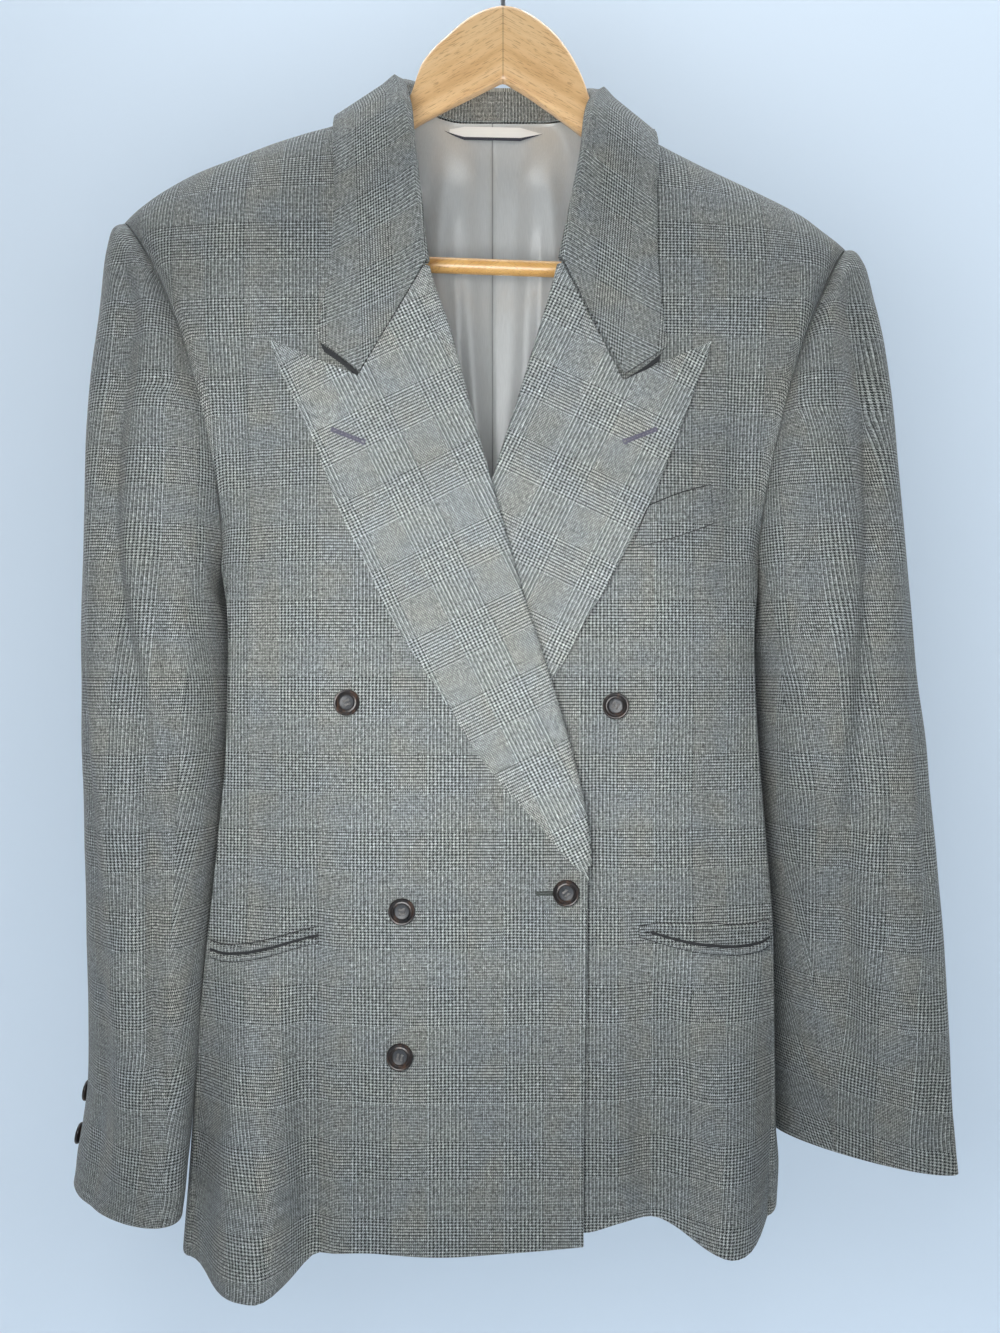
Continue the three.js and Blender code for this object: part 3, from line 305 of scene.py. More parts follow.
def spaced(count, extra=(), also=()):
    # even places from 0 to 1, with a few more close round each place in extra, and the places in also
    places = {round(i / count, 5) for i in range(count + 1)}
    for centre, step in extra:
        near = {round(clamp(centre + k * step, 0, 1), 5) for k in (-2, -1, 0, 1, 2)}
        places = {p for p in places if all(abs(p - n) > step * 0.6 for n in near) or p in (0, 1)} | near
    return sorted(places | set(also))


def layWeave(bm, cells, weave):
    layer = bm.loops.layers.uv.new("weave")
    for face in bm.faces:
        for loop in face.loops:
            loop[layer].uv = weave[cells[loop.vert]]


def faceOut(bm, direction):
    total = sum(face.normal.dot(direction(face.calc_center_median() / mm)) * face.calc_area() for face in bm.faces)
    if total < 0:
        bmesh.ops.reverse_faces(bm, faces=bm.faces[:])


def addObject(name, data):
    made = bpy.data.objects.new(name, data)
    bpy.context.scene.collection.objects.link(made)
    return made


def meshOf(name, bm):
    mesh = bpy.data.meshes.new(name)
    bm.normal_update()
    bm.to_mesh(mesh)
    bm.free()
    return mesh


def moved(x, y, z):
    return Matrix.Translation((x * mm, y * mm, z * mm))


def axes(x, y, z):
    return Matrix((x, y, z)).transposed().to_4x4()


def addRod(bm, radius, depth, at, segments, end=None):
    bmesh.ops.create_cone(bm, cap_ends=True, segments=segments, radius1=radius * mm,
                          radius2=(radius if end is None else end) * mm, depth=depth * mm, matrix=at)


def finishMesh(name, bm, finishes, nodes=(), angle=50):
    mesh = meshOf(name, bm)
    mesh.shade_smooth()
    if angle:
        mesh.set_sharp_from_angle(angle=math.radians(angle))
    piece = addObject(name, mesh)
    for finish in finishes if isinstance(finishes, list) else [finishes]:
        mesh.materials.append(finish.mat)
    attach(piece, "root")
    if nodes:
        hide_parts(*nodes)
    return piece


def giveWall(piece, thick, edge=0.7, inside=None):
    wall = piece.modifiers.new("wall", "SOLIDIFY")
    wall.thickness = thick * mm
    wall.offset = -1
    if inside is not None:
        wall.material_offset = inside
    rim = piece.modifiers.new("edge", "BEVEL")
    rim.width = edge * mm
    rim.segments = 2
    rim.limit_method = "ANGLE"
    rim.angle_limit = math.radians(55)
    rim.harden_normals = True


pieces = {}


def clothPiece(name, columns, rows, place, weaveAt, finish, slot, thick, replaced=True, out=outwardOf, **wall):
    bm, cells = gridOf(columns, rows)
    points = {}
    for vert, (i, j) in cells.items():
        points[i, j] = place(columns[i], rows[j])
        vert.co = points[i, j] * mm
    layWeave(bm, cells, weaveAt(points, len(columns), len(rows)))
    bm.normal_update()
    faceOut(bm, out)
    pieces[name] = finishMesh(name, bm, finish, [name] if replaced else [], angle=None)
    giveWall(pieces[name], thick, **wall)


def running(count, start, value, step):
    # a length that runs from one index out to both ends
    run = {start: value}
    for j in range(start + 1, count):
        run[j] = run[j - 1] + step(j)
    for j in range(start - 1, -1, -1):
        run[j] = run[j + 1] - step(j + 1)
    return run


def drapedWeave(sign, level=form["weaveLevel"]):
    # across is measured along each row from the first column, along runs up and down from a level row
    def at(points, columns, rows):
        weave = {}
        start = min(range(rows), key=lambda j: abs(points[0, j].z - level))
        for i in range(columns):
            height = running(rows, start, points[i, start].z,
                             lambda j: (points[i, j] - points[i, j - 1]).yz.length)
            for j in range(rows):
                weave[i, j] = [0, height[j] * mm]
        for j in range(rows):
            reach = points[0, j].x
            weave[0, j][0] = reach * mm
            for i in range(1, columns):
                reach += sign * (points[i, j] - points[i - 1, j]).xy.length
                weave[i, j][0] = reach * mm
        return weave

    return at


sleeveRound = dict(deep=60, wide=54, radius=57, slant=(2, 7))


def sleeveWeave(side, fromDeg, sleeveRows):
    # across follows the girth from the sleeve's outer side, along follows the height; near the armhole, where
    # the rings slant, the girth is read from the place round the sleeve's middle instead
    s = side["sleeve"]
    stations = [((s["outZ"](k) + s["inZ"](k)) / 2, (s["outX"](k) + s["inX"](k)) / 2,
                 (s["frontY"](k) + s["backY"](k)) / 2) for k in range(lastRow + 1)]
    middleX, middleY = curve([(z, x) for z, x, _ in stations]), curve([(z, y) for z, _, y in stations])

    def girth(row):
        count = max(2, round(abs(fromDeg - 90) / 3))
        ring = [sleevePoint(side, row, mix(90, fromDeg, k / count)) for k in range(count + 1)]
        return sum(math.hypot(b.x - a.x, b.y - a.y) for a, b in zip(ring, ring[1:])) * (1 if fromDeg > 90 else -1)

    def at(points, columns, rows):
        weave = {}
        for j in range(rows):
            row = sleeveRows[j] * lastRow
            angle, reach = math.radians(fromDeg - 90), girth(row)
            for i in range(columns):
                p = points[i, j]
                here = math.atan2((p.y - middleY(p.z)) / sleeveRound["deep"],
                                  (p.x - middleX(p.z)) * side["sign"] / sleeveRound["wide"])
                angle += (here - angle + math.pi) % math.tau - math.pi
                if i:
                    reach += math.hypot(p.x - points[i - 1, j].x, p.y - points[i - 1, j].y)
                across = mix(angle * sleeveRound["radius"], reach, smooth(*sleeveRound["slant"], row))
                weave[i, j] = (across * mm, p.z * mm)
        return weave

    return at


def turnedWeave(deg):
    # the cloth's grain turned in the plane of the front
    c, s = math.cos(math.radians(deg)), math.sin(math.radians(deg))

    def at(points, columns, rows):
        return {k: ((p.x * c + p.z * s) * mm, (-p.x * s + p.z * c) * mm) for k, p in points.items()}

    return at


print("helpers ready")


# Shader maths written as expressions on sockets.
class Signal:
    def __init__(self, finish, socket):
        self.finish, self.socket = finish, socket

    def calc(self, operation, *others):
        return self.finish.calc(operation, self, *others)

    def __add__(self, other):
        return self.calc("ADD", other)

    def __radd__(self, other):
        return self.finish.calc("ADD", other, self)

    def __sub__(self, other):
        return self.calc("SUBTRACT", other)

    def __rsub__(self, other):
        return self.finish.calc("SUBTRACT", other, self)

    def __mul__(self, other):
        return self.calc("MULTIPLY", other)

    def __rmul__(self, other):
        return self.finish.calc("MULTIPLY", other, self)

    def __truediv__(self, other):
        return self.calc("DIVIDE", other)

    def __mod__(self, other):
        return self.calc("FLOORED_MODULO", other)

    def __lt__(self, other):
        return self.calc("LESS_THAN", other)

    def floor(self):
        return self.calc("FLOOR")

    def atMost(self, high):
        return self.calc("MINIMUM", high)

    def atLeast(self, low):
        return self.calc("MAXIMUM", low)


class Finish:
    def __init__(self, name, **constants):
        self.mat = bpy.data.materials.new(name)
        self.mat.use_nodes = True
        self.tree = self.mat.node_tree
        self.shader = self.tree.nodes["Principled BSDF"]
        for key, value in constants.items():
            self.shader.inputs[key.replace("_", " ")].default_value = value

    def node(self, kind, settings=None, sockets=None, output=0):
        made = self.tree.nodes.new(kind)
        for key, value in (settings or {}).items():
            if key == "stops":
                ramp = made.color_ramp.elements
                while len(ramp) < len(value):
                    ramp.new(1)
                for stop, (place, colour) in zip(ramp, value):
                    stop.position, stop.color = place, colour
            else:
                setattr(made, key, value)
        for key, value in (sockets or {}).items():
            if isinstance(value, Signal):
                self.tree.links.new(value.socket, made.inputs[key])
            else:
                made.inputs[key].default_value = value
        return Signal(self, made.outputs[output])

    def calc(self, operation, *values):
        return self.node("ShaderNodeMath", {"operation": operation}, dict(enumerate(values)))

    def blend(self, factor, a, b):
        return self.node("ShaderNodeMix", {"data_type": "RGBA"}, {0: factor, 6: a, 7: b}, 2)

    def scaled(self, colour, factor):
        return self.node("ShaderNodeVectorMath", {"operation": "SCALE"}, {0: colour, "Scale": factor})

    def ramp(self, factor, stops):
        return self.node("ShaderNodeValToRGB", {"stops": stops}, {0: factor})

    def split(self, vector):
        made = self.node("ShaderNodeSeparateXYZ", {}, {0: vector})
        return [Signal(self, socket) for socket in made.socket.node.outputs]

    def place(self):
        return self.node("ShaderNodeTexCoord", {}, {}, "Object")

    def noise(self, vector, scale, detail=2.0, rough=0.5):
        return self.node("ShaderNodeTexNoise", {}, {"Vector": vector, "Scale": scale, "Detail": detail,
                                                    "Roughness": rough})

    def grain(self, vector, scale, detail=2.0, rough=0.5):
        stretched = self.node("ShaderNodeMapping", {}, {"Vector": vector, "Scale": scale})
        return self.noise(stretched, 1.0, detail, rough)

    def line(self, x, at, half):
        # 1 on a thin upright line, 0 beside it
        return 1 - ((x - at).calc("ABSOLUTE") / half).atMost(1.0)

    def drive(self, name, value):
        self.tree.links.new(value.socket, self.shader.inputs[name])

    def bump(self, height, distance, strength=1.0):
        self.drive("Normal", self.node("ShaderNodeBump", {}, {"Height": height, "Distance": distance,
                                                              "Strength": strength}))


def tone(r, g, b):
    # a colour given as it looks on a screen, 0 to 255
    def linear(v):
        v /= 255
        return v / 12.92 if v <= 0.04045 else ((v + 0.055) / 1.055) ** 2.4
    return (linear(r), linear(g), linear(b), 1)


# Satin lining hung inside the back: a seam near the middle, and each fold's place across, half width and depth.
lining = dict(off=2.4, thick=0.6, reach=0.93, hem=0.03, neck=0.985, seamX=-8.4, seamDeep=2.2, folds=[
    (0.085, 0.034, 7.5), (0.175, 0.036, 11.0), (0.27, 0.04, 8.5), (0.38, 0.046, 9.5), (0.5, 0.05, 7.0),
    (0.63, 0.05, 6.5), (0.75, 0.05, 5.5), (0.86, 0.05, 4.8)])

# Glen check: four dark and four light yarns, then two and two, in warp and weft, woven in two and two twill.
suiting = dict(dark=tone(40, 43, 44), light=tone(164, 169, 165), cool=tone(161, 167, 168), warm=tone(166, 168, 162),
               melange=0.5, streak=2.2, grain=2.8, boldWarp=0.8, cloud=(0.86, 0.27), warpSlub=(1150, 150, 1),
               weftSlub=(190, 1500, 1), fleck=(620, 420, 1), cloudScale=9.0, tintScale=34.0,
               warp=dict(yarn=0.33, bold=88, repeat=164, start=0.0),
               weft=dict(yarn=0.27, bold=104, repeat=204, start=0.0))


# shade scales the whole cloth's colour; the copies for the sleeves and the lapels use it to paint shade and light
def clothFinish(name, shade=1.0):
    f = Finish(name, Roughness=0.86, Specular_IOR_Level=0.2, Sheen_Weight=0.08, Sheen_Roughness=0.55)
    weave = f.node("ShaderNodeUVMap", {"uv_map": "weave"})
    across, along, _ = f.split(weave)
    warp, weft = suiting["warp"], suiting["weft"]
    s = across / (warp["yarn"] * mm) + warp["start"]
    t = along / (weft["yarn"] * mm) + weft["start"]
    i, j = s.floor(), t.floor()

    def order(k, yarns):
        place = k % yarns["repeat"]
        bold = place < yarns["bold"]
        return bold * (((place + 4) % 8) < 4) + (1 - bold) * (((place + 2) % 4) < 2), bold

    over = ((i + j) % 4) < 2  # the warp yarn lies on top
    darkWarp, boldWarp = order(i, warp)
    darkWeft, boldWeft = order(j, weft)
    soft = boldWarp * (1 - boldWeft) * (1 - suiting["boldWarp"])
    dark = over * (darkWarp + soft * (0.5 - darkWarp)) + (1 - over) * darkWeft
    yarnI, yarnJ = (f.node("ShaderNodeTexWhiteNoise", {"noise_dimensions": "1D"}, {"W": k}) for k in (i, j + 0.37))
    mottle = over * yarnI + (1 - over) * yarnJ
    place = f.place()
    cloud = f.noise(place, suiting["cloudScale"], 3.0)
    tint = f.noise(place, suiting["tintScale"])
    slub = 0.65 * f.grain(weave, suiting["warpSlub"], 2.0, 0.6) + 0.35 * f.grain(weave, suiting["weftSlub"], 2.0, 0.6)
    fleck = f.grain(weave, suiting["fleck"], 2.0, 0.7)
    low, rise = suiting["cloud"]
    level = shade * (1 - suiting["melange"] / 2 + suiting["melange"] * mottle) * (low + rise * cloud)
    level = level * (1 + suiting["streak"] * (slub - 0.5)).atLeast(0.35)
    level = level * (1 + suiting["grain"] * (fleck - 0.5)).atLeast(0.3)
    pale = f.blend(((tint - 0.5) * 3 + 0.5).atMost(1.0).atLeast(0.0), suiting["cool"],
                   f.blend(boldWarp, suiting["warm"], suiting["light"]))
    f.drive("Base Color", f.scaled(f.blend(dark, pale, suiting["dark"]), level))
    f.drive("Roughness", 0.8 + 0.14 * cloud)
    roundI = 1 - (2 * (s - i) - 1).calc("ABSOLUTE")
    roundJ = 1 - (2 * (t - j) - 1).calc("ABSOLUTE")
    f.bump(over * roundI + (1 - over) * roundJ, 0.0001, 0.5)
    return f


def liningFinish():
    f = Finish("lining satin", Metallic=0.4, Specular_IOR_Level=0.75, Anisotropic=0.5, Sheen_Weight=0.1)
    place = f.place()
    tint = f.grain(place, (14, 14, 3), 3.0)
    thread = f.grain(place, (2600, 2600, 120), 1.0)
    sheen = f.blend(tint * 0.6 + thread * 0.4, tone(172, 175, 175), tone(228, 231, 232))
    f.drive("Base Color", f.scaled(sheen, 1 - 0.6 * f.line(f.split(place)[0], lining["seamX"] * mm, 0.0009)))
    f.drive("Roughness", 0.32 + 0.12 * thread)
    f.bump(thread, 0.00006, 0.4)
    return f


def grainFinish(name, size, detail, rough, colours, roughness, bump, coat=None, metal=None, **constants):
    # one streaky grain that sets the colour, the gloss and the bump, each given as least value and rise
    f = Finish(name, **constants)
    streak = f.grain(f.place(), size, detail, rough)
    f.drive("Base Color", f.blend(streak, *colours) if len(colours) == 2 else f.ramp(streak, colours))
    for socket, span in (("Roughness", roughness), ("Coat Weight", coat), ("Metallic", metal)):
        if span:
            f.drive(socket, span[0] + span[1] * streak)
    f.bump(streak, *bump)
    return f


def threadFinish(name, dark, light):
    return grainFinish(name, (2400, 2400, 2400), 2.0, 0.5, (dark, light), (0.55, 0.2), (0.00008, 0.6),
                       Specular_IOR_Level=0.3, Sheen_Weight=0.2)


def woodFinish(name, stops, glueLine):
    f = Finish(name, Specular_IOR_Level=0.5, Coat_Roughness=0.14)
    x, y, z = f.split(f.place())
    along = x.calc("ABSOLUTE")  # the grain falls with both arms
    run = f.node("ShaderNodeCombineXYZ", {}, {0: along * 0.88 - z * 0.48, 1: y, 2: along * 0.48 + z * 0.88})
    ring = f.grain(run, (7, 90, 90), 4.0, 0.55)
    pore = f.grain(run, (120, 1500, 1500))
    cloud = f.noise(run, 16.0)
    base = f.ramp(ring * 0.75 + cloud * 0.25, stops)
    fleck = f.blend(((pore - 0.56) * 6).atLeast(0.0).atMost(0.5), base, tone(160, 108, 66))
    f.drive("Base Color", f.blend(f.line(x, 0, 0.0007) * glueLine, fleck, tone(120, 78, 45)))
    f.drive("Roughness", 0.3 + 0.2 * pore)
    f.drive("Coat Weight", 0.35 + 0.25 * cloud)
    f.bump(ring * 0.4 + pore * 0.6, 0.0002, 0.35)
    return f


def labelFinish():
    f = Finish("label satin", Specular_IOR_Level=0.5, Sheen_Weight=0.2)
    place = f.place()
    rib = (f.split(place)[2] * 5200).calc("SINE") * 0.5 + 0.5
    tint = f.noise(place, 60.0)
    f.drive("Base Color", f.blend(rib * 0.4 + tint * 0.6, tone(222, 222, 220), tone(244, 244, 241)))
    f.drive("Roughness", 0.4 + 0.15 * tint)
    f.bump(rib, 0.00005, 0.4)
    return f


cloth = clothFinish("glen check wool", 0.89)
# a darker copy of the same wool, painted shade for the sleeves and for the facing inside the open pocket
paintedShadeCloth = clothFinish("glen check wool darkened for painted shade", 0.83)
# a lighter copy of the same wool, painted light on the lapels
paintedLightCloth = clothFinish("glen check wool lightened for painted light", 1.15)
satin = liningFinish()
horn = grainFinish("dark horn", (260, 260, 70), 4.0, 0.62, [
    (0.3, tone(16, 14, 15)), (0.5, tone(34, 29, 28)), (0.66, tone(70, 50, 38)), (0.8, tone(26, 24, 25))],
    (0.22, 0.2), (0.0001, 0.3), coat=(0.08, 0.16), Specular_IOR_Level=0.4, Coat_Roughness=0.16)
dish = grainFinish("worn horn dish", (420, 420, 120), 4.0, 0.6, [
    (0.3, tone(26, 27, 29)), (0.55, tone(54, 56, 60)), (0.75, tone(34, 33, 34))],
    (0.32, 0.25), (0.00015, 0.4), Specular_IOR_Level=0.55)
wood = woodFinish("varnished beech", [
    (0.3, tone(206, 156, 102)), (0.48, tone(234, 192, 138)), (0.62, tone(242, 205, 155)), (0.8, tone(218, 170, 114))],
    0.55)
barWood = woodFinish("varnished beech bar", [
    (0.3, tone(186, 132, 68)), (0.48, tone(214, 164, 94)), (0.62, tone(226, 180, 110)), (0.8, tone(196, 144, 78))],
    0.0)
steel = grainFinish("bright steel wire", (900, 900, 90), 2.0, 0.5, (tone(168, 170, 174), tone(214, 216, 220)),
                    (0.2, 0.2), (0.00005, 0.4), metal=(0.92, 0.08), Specular_IOR_Level=0.5)
threadPurple = threadFinish("purple grey thread", tone(74, 73, 86), tone(106, 104, 120))
threadGreen = threadFinish("green grey thread", tone(46, 51, 49), tone(74, 80, 76))
threadWhite = threadFinish("button thread", tone(84, 83, 82), tone(132, 130, 128))
# dark cloth that paints shadow in the pocket mouths, round the jets and the welt, and in the collar notch, where it
# is also the under-collar felt
shadowCloth = threadFinish("dark felt and painted shadow", tone(30, 31, 33), tone(46, 48, 50))
labelWhite = labelFinish()
labelDark = threadFinish("label border", tone(46, 48, 58), tone(66, 68, 80))
print("finishes ready")


# Body panels: rows run from the hem to the underarm, then up the armhole.
def rowOf(side, v, isBack):
    under, share = 180 - form["underarm"] if isBack else form["underarm"], form["armShare"]
    bottom = armhole(side, under).z
    if v <= share:
        return dict(z=mix(form["hemZ"], bottom, v / share), up=v / share - 1, edge=None)
    top = armhole(side, 90).z
    edge = armhole(side, mix(under, 90, (v - share) / (1 - share)))
    return dict(z=edge.z, up=(edge.z - bottom) / (top - bottom), edge=edge, bottom=bottom)


def neckLine(x):
    return mix(-131, ridge(x) - 0.4, smooth(30, 78, abs(x)))


def panelPlace(side, surface, isBack=False):
    innerTop = neckLine(0) if isBack else side["rollTop"]
    seam = side["backSeam" if isBack else "seam"]
    memo = {}

    def rowAt(v):
        row = rowOf(side, v, isBack)
        edge, z = row["edge"], row["z"]
        row["inZ"] = mix(row["bottom"], innerTop, row["up"]) if edge else z
        row["inX"] = 0 if isBack else side["roll"](row["inZ"])
        row["outX"] = edge.x if edge else seam(z)
        row["outY"] = edge.y if edge else side["seamY"](z) * (-1 if isBack else 1)
        return row

    def place(u, v):
        if v not in memo:
            memo[v] = rowAt(v)
        row = memo[v]
        if u == 1 and row["edge"]:
            return row["edge"].copy()
        x = mix(row["inX"], row["outX"], u)
        z = mix(row["inZ"], row["z"], u)
        inNeck = isBack and abs(x) < abs(side["neckX"])
        if row["up"] < 0:
            z += row["up"] ** 2 * (side["hem"](x) - form["hemZ"]) * (smooth(0, 1, u) if isBack else 1)
        else:
            top = neckLine(x) if inNeck else ridge(x)
            z += row["up"] ** 3 * (top - mix(innerTop, ridge(row["outX"]), u))
        if v == 1 and not inNeck:  # front and back meet on the shoulder seam
            return Vector((x, 0, z))
        return Vector((x, mix(surface(x, z), row["outY"], u ** form["seamPull"]), z))

    return place


def sidePlace(side):
    def place(t, v):
        arm = armhole(side, mix(form["underarm"], -180 - form["underarm"], t))
        level = mix(form["hemZ"], arm.z, v)
        seamX = mix(side["seam"](level), side["backSeam"](level), t)
        sideX = mix(seamX, side["side"](level), math.sin(math.pi * t) ** 0.8)
        z = level + (1 - v) ** 2 * (side["hem"](sideX) - form["hemZ"])
        across = math.cos(math.pi * t)
        y = side["seamY"](level) * math.copysign(abs(across) ** 0.9, across)
        return mix(Vector((sideX, y, z)), arm, v ** 40)

    return place


frontColumns = spaced(56, [(0.727, 0.0035)])
for name, side, place, columns in (
        ("front_left", left, panelPlace(left, overY), frontColumns),
        ("front_right", right, panelPlace(right, frontY), frontColumns),
        ("back_left", left, panelPlace(left, backY, True), spaced(50)),
        ("back_right", right, panelPlace(right, backY, True), spaced(48)),
        ("side_left", left, sidePlace(left), spaced(22)),
        ("side_right", right, sidePlace(right), spaced(22))):
    rows = spaced(100) if name.startswith("side") else spaced(150)
    clothPiece(name, columns, rows, place, drapedWeave(side["sign"]), [cloth, satin], "cloth", form["cloth"],
               inside=1)
print("body panels ready")


# Sleeves: a top and an under sleeve, each a long strip of the tube.
sleeveForm = dict(wander=1.3, wanderSize=46, groove=1.5, roping=2.8, ropeKept=0.85, ropeAt=(92, 62), rows=104)


def sleevePlace(side, creases, fromDeg, toDeg):
    s = side["sleeve"]
    creases = [(curve(line), line[0][0], line[-1][0], half, depth) for line, half, depth in creases]

    def place(u, v):
        row = v * lastRow
        deg = mix(fromDeg, toDeg, u)
        girth = (s["backY"](row) - s["frontY"](row)) / 2
        out = 0
        for at, first, last, half, depth in creases:
            away = (deg - at(row) + 180) % 360 - 180
            reach = smooth(first - 0.7, first + 0.5, row) * smooth(last + 0.9, last - 0.6, row)
            out -= depth * hump(math.radians(away) * girth, 0, half) * reach
        ends = smooth(0.5, 2.5, row) * smooth(14.2, 13, row)
        out += sleeveForm["wander"] * wander(deg * 0.9, row * 50, sleeveForm["wanderSize"], 5) * ends
        seam = smooth(0.3, 0.01, row) * smooth(-75, -30, deg) * smooth(255, 215, deg)
        out -= sleeveForm["groove"] * seam * (1 - hump(deg, 95, 45))
        crown = smooth(0, 0.5, row) * smooth(2.8, 1.0, row) * smooth(-50, 20, deg) * smooth(230, 160, deg)
        out += sleeveForm["roping"] * (1 - sleeveForm["ropeKept"] * hump(deg, *sleeveForm["ropeAt"])) * crown
        return sleevePoint(side, row, deg, out)

    return place


def awayFromSleeve(side):
    def out(p):
        s = side["sleeve"]
        row = min(range(lastRow + 1), key=lambda k: abs((s["outZ"](k) + s["inZ"](k)) / 2 - p[2]))
        centre = Vector(((s["outX"](row) + s["inX"](row)) / 2, (s["frontY"](row) + s["backY"](row)) / 2, p[2]))
        return (Vector(p) - centre).normalized()

    return out


sleeveRows = spaced(sleeveForm["rows"], also=(0.008, 0.02, 0.035))  # closer at the armhole seam
# the sleeves take the darker copy of the cloth, which paints shade on them
for word, side in sides.items():
    for part, a, b, count in (("top", side["splitFront"], side["splitBack"], 40),
                              ("under", side["splitBack"], side["splitFront"] + 360, 46)):
        clothPiece(f"{part}_sleeve_{word}", spaced(count), sleeveRows, sleevePlace(side, sleeveCreases[word], a, b),
                   sleeveWeave(side, a, sleeveRows), [paintedShadeCloth, satin], "cloth", form["cloth"],
                   out=awayFromSleeve(side), inside=1)
print("sleeves ready")

# Lapels: rolled over the front edge, then lying on the front. Rows run down from the peak.
lapels = dict(
    left=dict(side=left, surface=overY, notch=0.47, shift=(5, -56), belly=2.5, grain=26,
              rows=[(-281, -168, -335, 1), (-296, -165, -346, 0.96), (-314, -160, -359, 0.9),
                    (-338, -149, -381, 0.8), (-367, -134, -414, 0.64), (-400, -119, -454, 0.46),
                    (-435, -98, -497, 0.3), (-468, -82, -532, 0.2), (-500, -65, -559, 0.1), (-540, -39, -598, 0),
                    (-580, -16, -635, 0), (-618, 10, -666, 0), (-648, 27, -684, 0), (-676, 41, -702, 0),
                    (-711, 60.5, -721.5, 0)]),
    right=dict(side=right, surface=frontY, notch=0.42, shift=(-2, -62), belly=1.0, grain=-26,
               rows=[(-280, 150, -336, 1), (-295, 147, -347, 0.97), (-313, 142, -360, 0.92),
                     (-337, 133, -384, 0.8), (-366, 122, -413, 0.64), (-400, 108, -446, 0.46),
                     (-435, 92, -478, 0.3), (-468, 75, -511, 0.2), (-500, 59, -537, 0.1), (-540, 40, -572, 0),
                     (-580, 12, -610, 0), (-618, -14, -639, 0), (-650, -38, -667, 0), (-680, -64, -693, 0),
                     (-700, -76, -706, 0)]))
fold = dict(centreAlong=0.9, centreOff=0.4, radius=4.0, fromDeg=-55, share=0.12, over=4.4)


def foldAt(u, extra=0):
    # the rolled edge: how far along and off the cloth it is
    a = math.radians(mix(fold["fromDeg"], 90, u / fold["share"]))
    return (fold["centreAlong"] - fold["radius"] * math.cos(a),
            fold["centreOff"] + (fold["radius"] + extra) * math.sin(a))


def kink(t, notch):
    return t / notch if t < notch else (1 - t) / (1 - notch)


def foldColumns(count, notch):
    return spaced(count, also=(fold["share"], round(fold["share"] + notch * (1 - fold["share"]), 5)))


def lapelPlace(lapel):
    rows = lapel["rows"]
    rollZ, outX, outZ, bend = (curve([(i, row[k]) for i, row in enumerate(rows)]) for k in range(4))
    roll = lapel["side"]["roll"]
    away = -lapel["side"]["sign"]

    def place(u, v):
        row = v * lastRow
        z0 = rollZ(row)
        x0 = roll(z0)
        if u < fold["share"]:
            along, off = foldAt(u)
            return Vector((x0 - away * along, lapel["surface"](x0, z0) - off, z0))
        t = (u - fold["share"]) / (1 - fold["share"])
        k = kink(t, lapel["notch"]) * bend(row)
        start = x0 - away * fold["centreAlong"]
        x = mix(start, outX(row), t) + k * lapel["shift"][0]
        z = mix(z0, outZ(row), t) + k * lapel["shift"][1]
        belly = lapel["belly"] * math.sin(math.pi * min(1, t * 1.4)) * smooth(-560, -420, z)
        return Vector((x, lapel["surface"](x, z) - fold["over"] - belly, z))

    return place


def towardViewer(p):
    return Vector((0, -1, 0))


for word, lapel in lapels.items():
    clothPiece(f"lapel_{word}", foldColumns(44, lapel["notch"]), spaced(90), lapelPlace(lapel),
               turnedWeave(lapel["grain"]), paintedLightCloth, "lapel_cloth", form["lapel"], out=towardViewer, edge=1.1)
print("lapels ready")

# Collar: folds over the front edge and the top of the stand, from one lapel round the neck to the other. A row of six
# numbers starts with the fold's x and y; a row of four takes them from the front's roll line.
collarLeft = [
    (-278.5, -135, -333.5, 1), (-262, -130, -311, 0.62), (-242, -125.5, -287, 0.3),
    (-218, -123, -257, 0.1), (-190, -122.5, -226, 0), (-160, -123, -193, 0),
    (-144, -123.5, -176, 0), (-77.5, -13, -128.5, -123, -161, 0), (-79, 0, -121.5, -122, -154.7, 0),
    (-77, 10, -115.5, -119.5, -158.5, 0), (-71, 21, -110.5, -112, -162, 0), (-59, 31, -107, -98, -163, 0),
    (-39, 40, -104.5, -68, -168, 0), (-14, 44.5, -104, -24, -169, 0)]
collarRight = [
    (-276.5, 118, -340.5, 1), (-262, 115, -316, 0.62), (-242, 112.5, -291, 0.3),
    (-218, 111, -262, 0.1), (-196, 111, -234, 0), (-168, 112, -206, 0),
    (-152, 112, -188, 0), (71, -13, -137.5, 111, -173, 0), (73, 0, -130.5, 110.5, -166.2, 0),
    (71.5, 10, -123, 108, -169, 0), (66, 21, -116.5, 103, -172, 0), (56, 31, -111.5, 91, -171, 0),
    (37, 40, -106, 64, -172, 0), (13, 44.5, -104, 23, -169, 0)]
collarForm = dict(flatRows=6, notch=0.62, extra=1.3, beyond=0.9, lift=2.6, frontRows=9, standRows=7, standIn=2.0,
                  leftShift=(1.7, -45.6), rightShift=(-2, -44))


def collarTable():
    table = []
    for rows, side, surface in ((collarLeft, left, overY), (collarRight, right, frontY)):
        part = []
        for index, row in enumerate(rows):
            z, rimX, rimZ, bend = row[-4:]
            x, y = row[:2] if len(row) == 6 else (side["roll"](z), surface(side["roll"](z), z))
            onFront = 1 if index < collarForm["frontRows"] else 0
            rimY = surface(rimX, rimZ) if onFront else backY(rimX, rimZ)
            part.append((x, y, z, rimX, rimY, rimZ, bend, onFront))
        table += part if side is left else part[::-1]
    return [curve([(i, row[k]) for i, row in enumerate(table)]) for k in range(8)], len(table) - 1


collarLines, collarLast = collarTable()


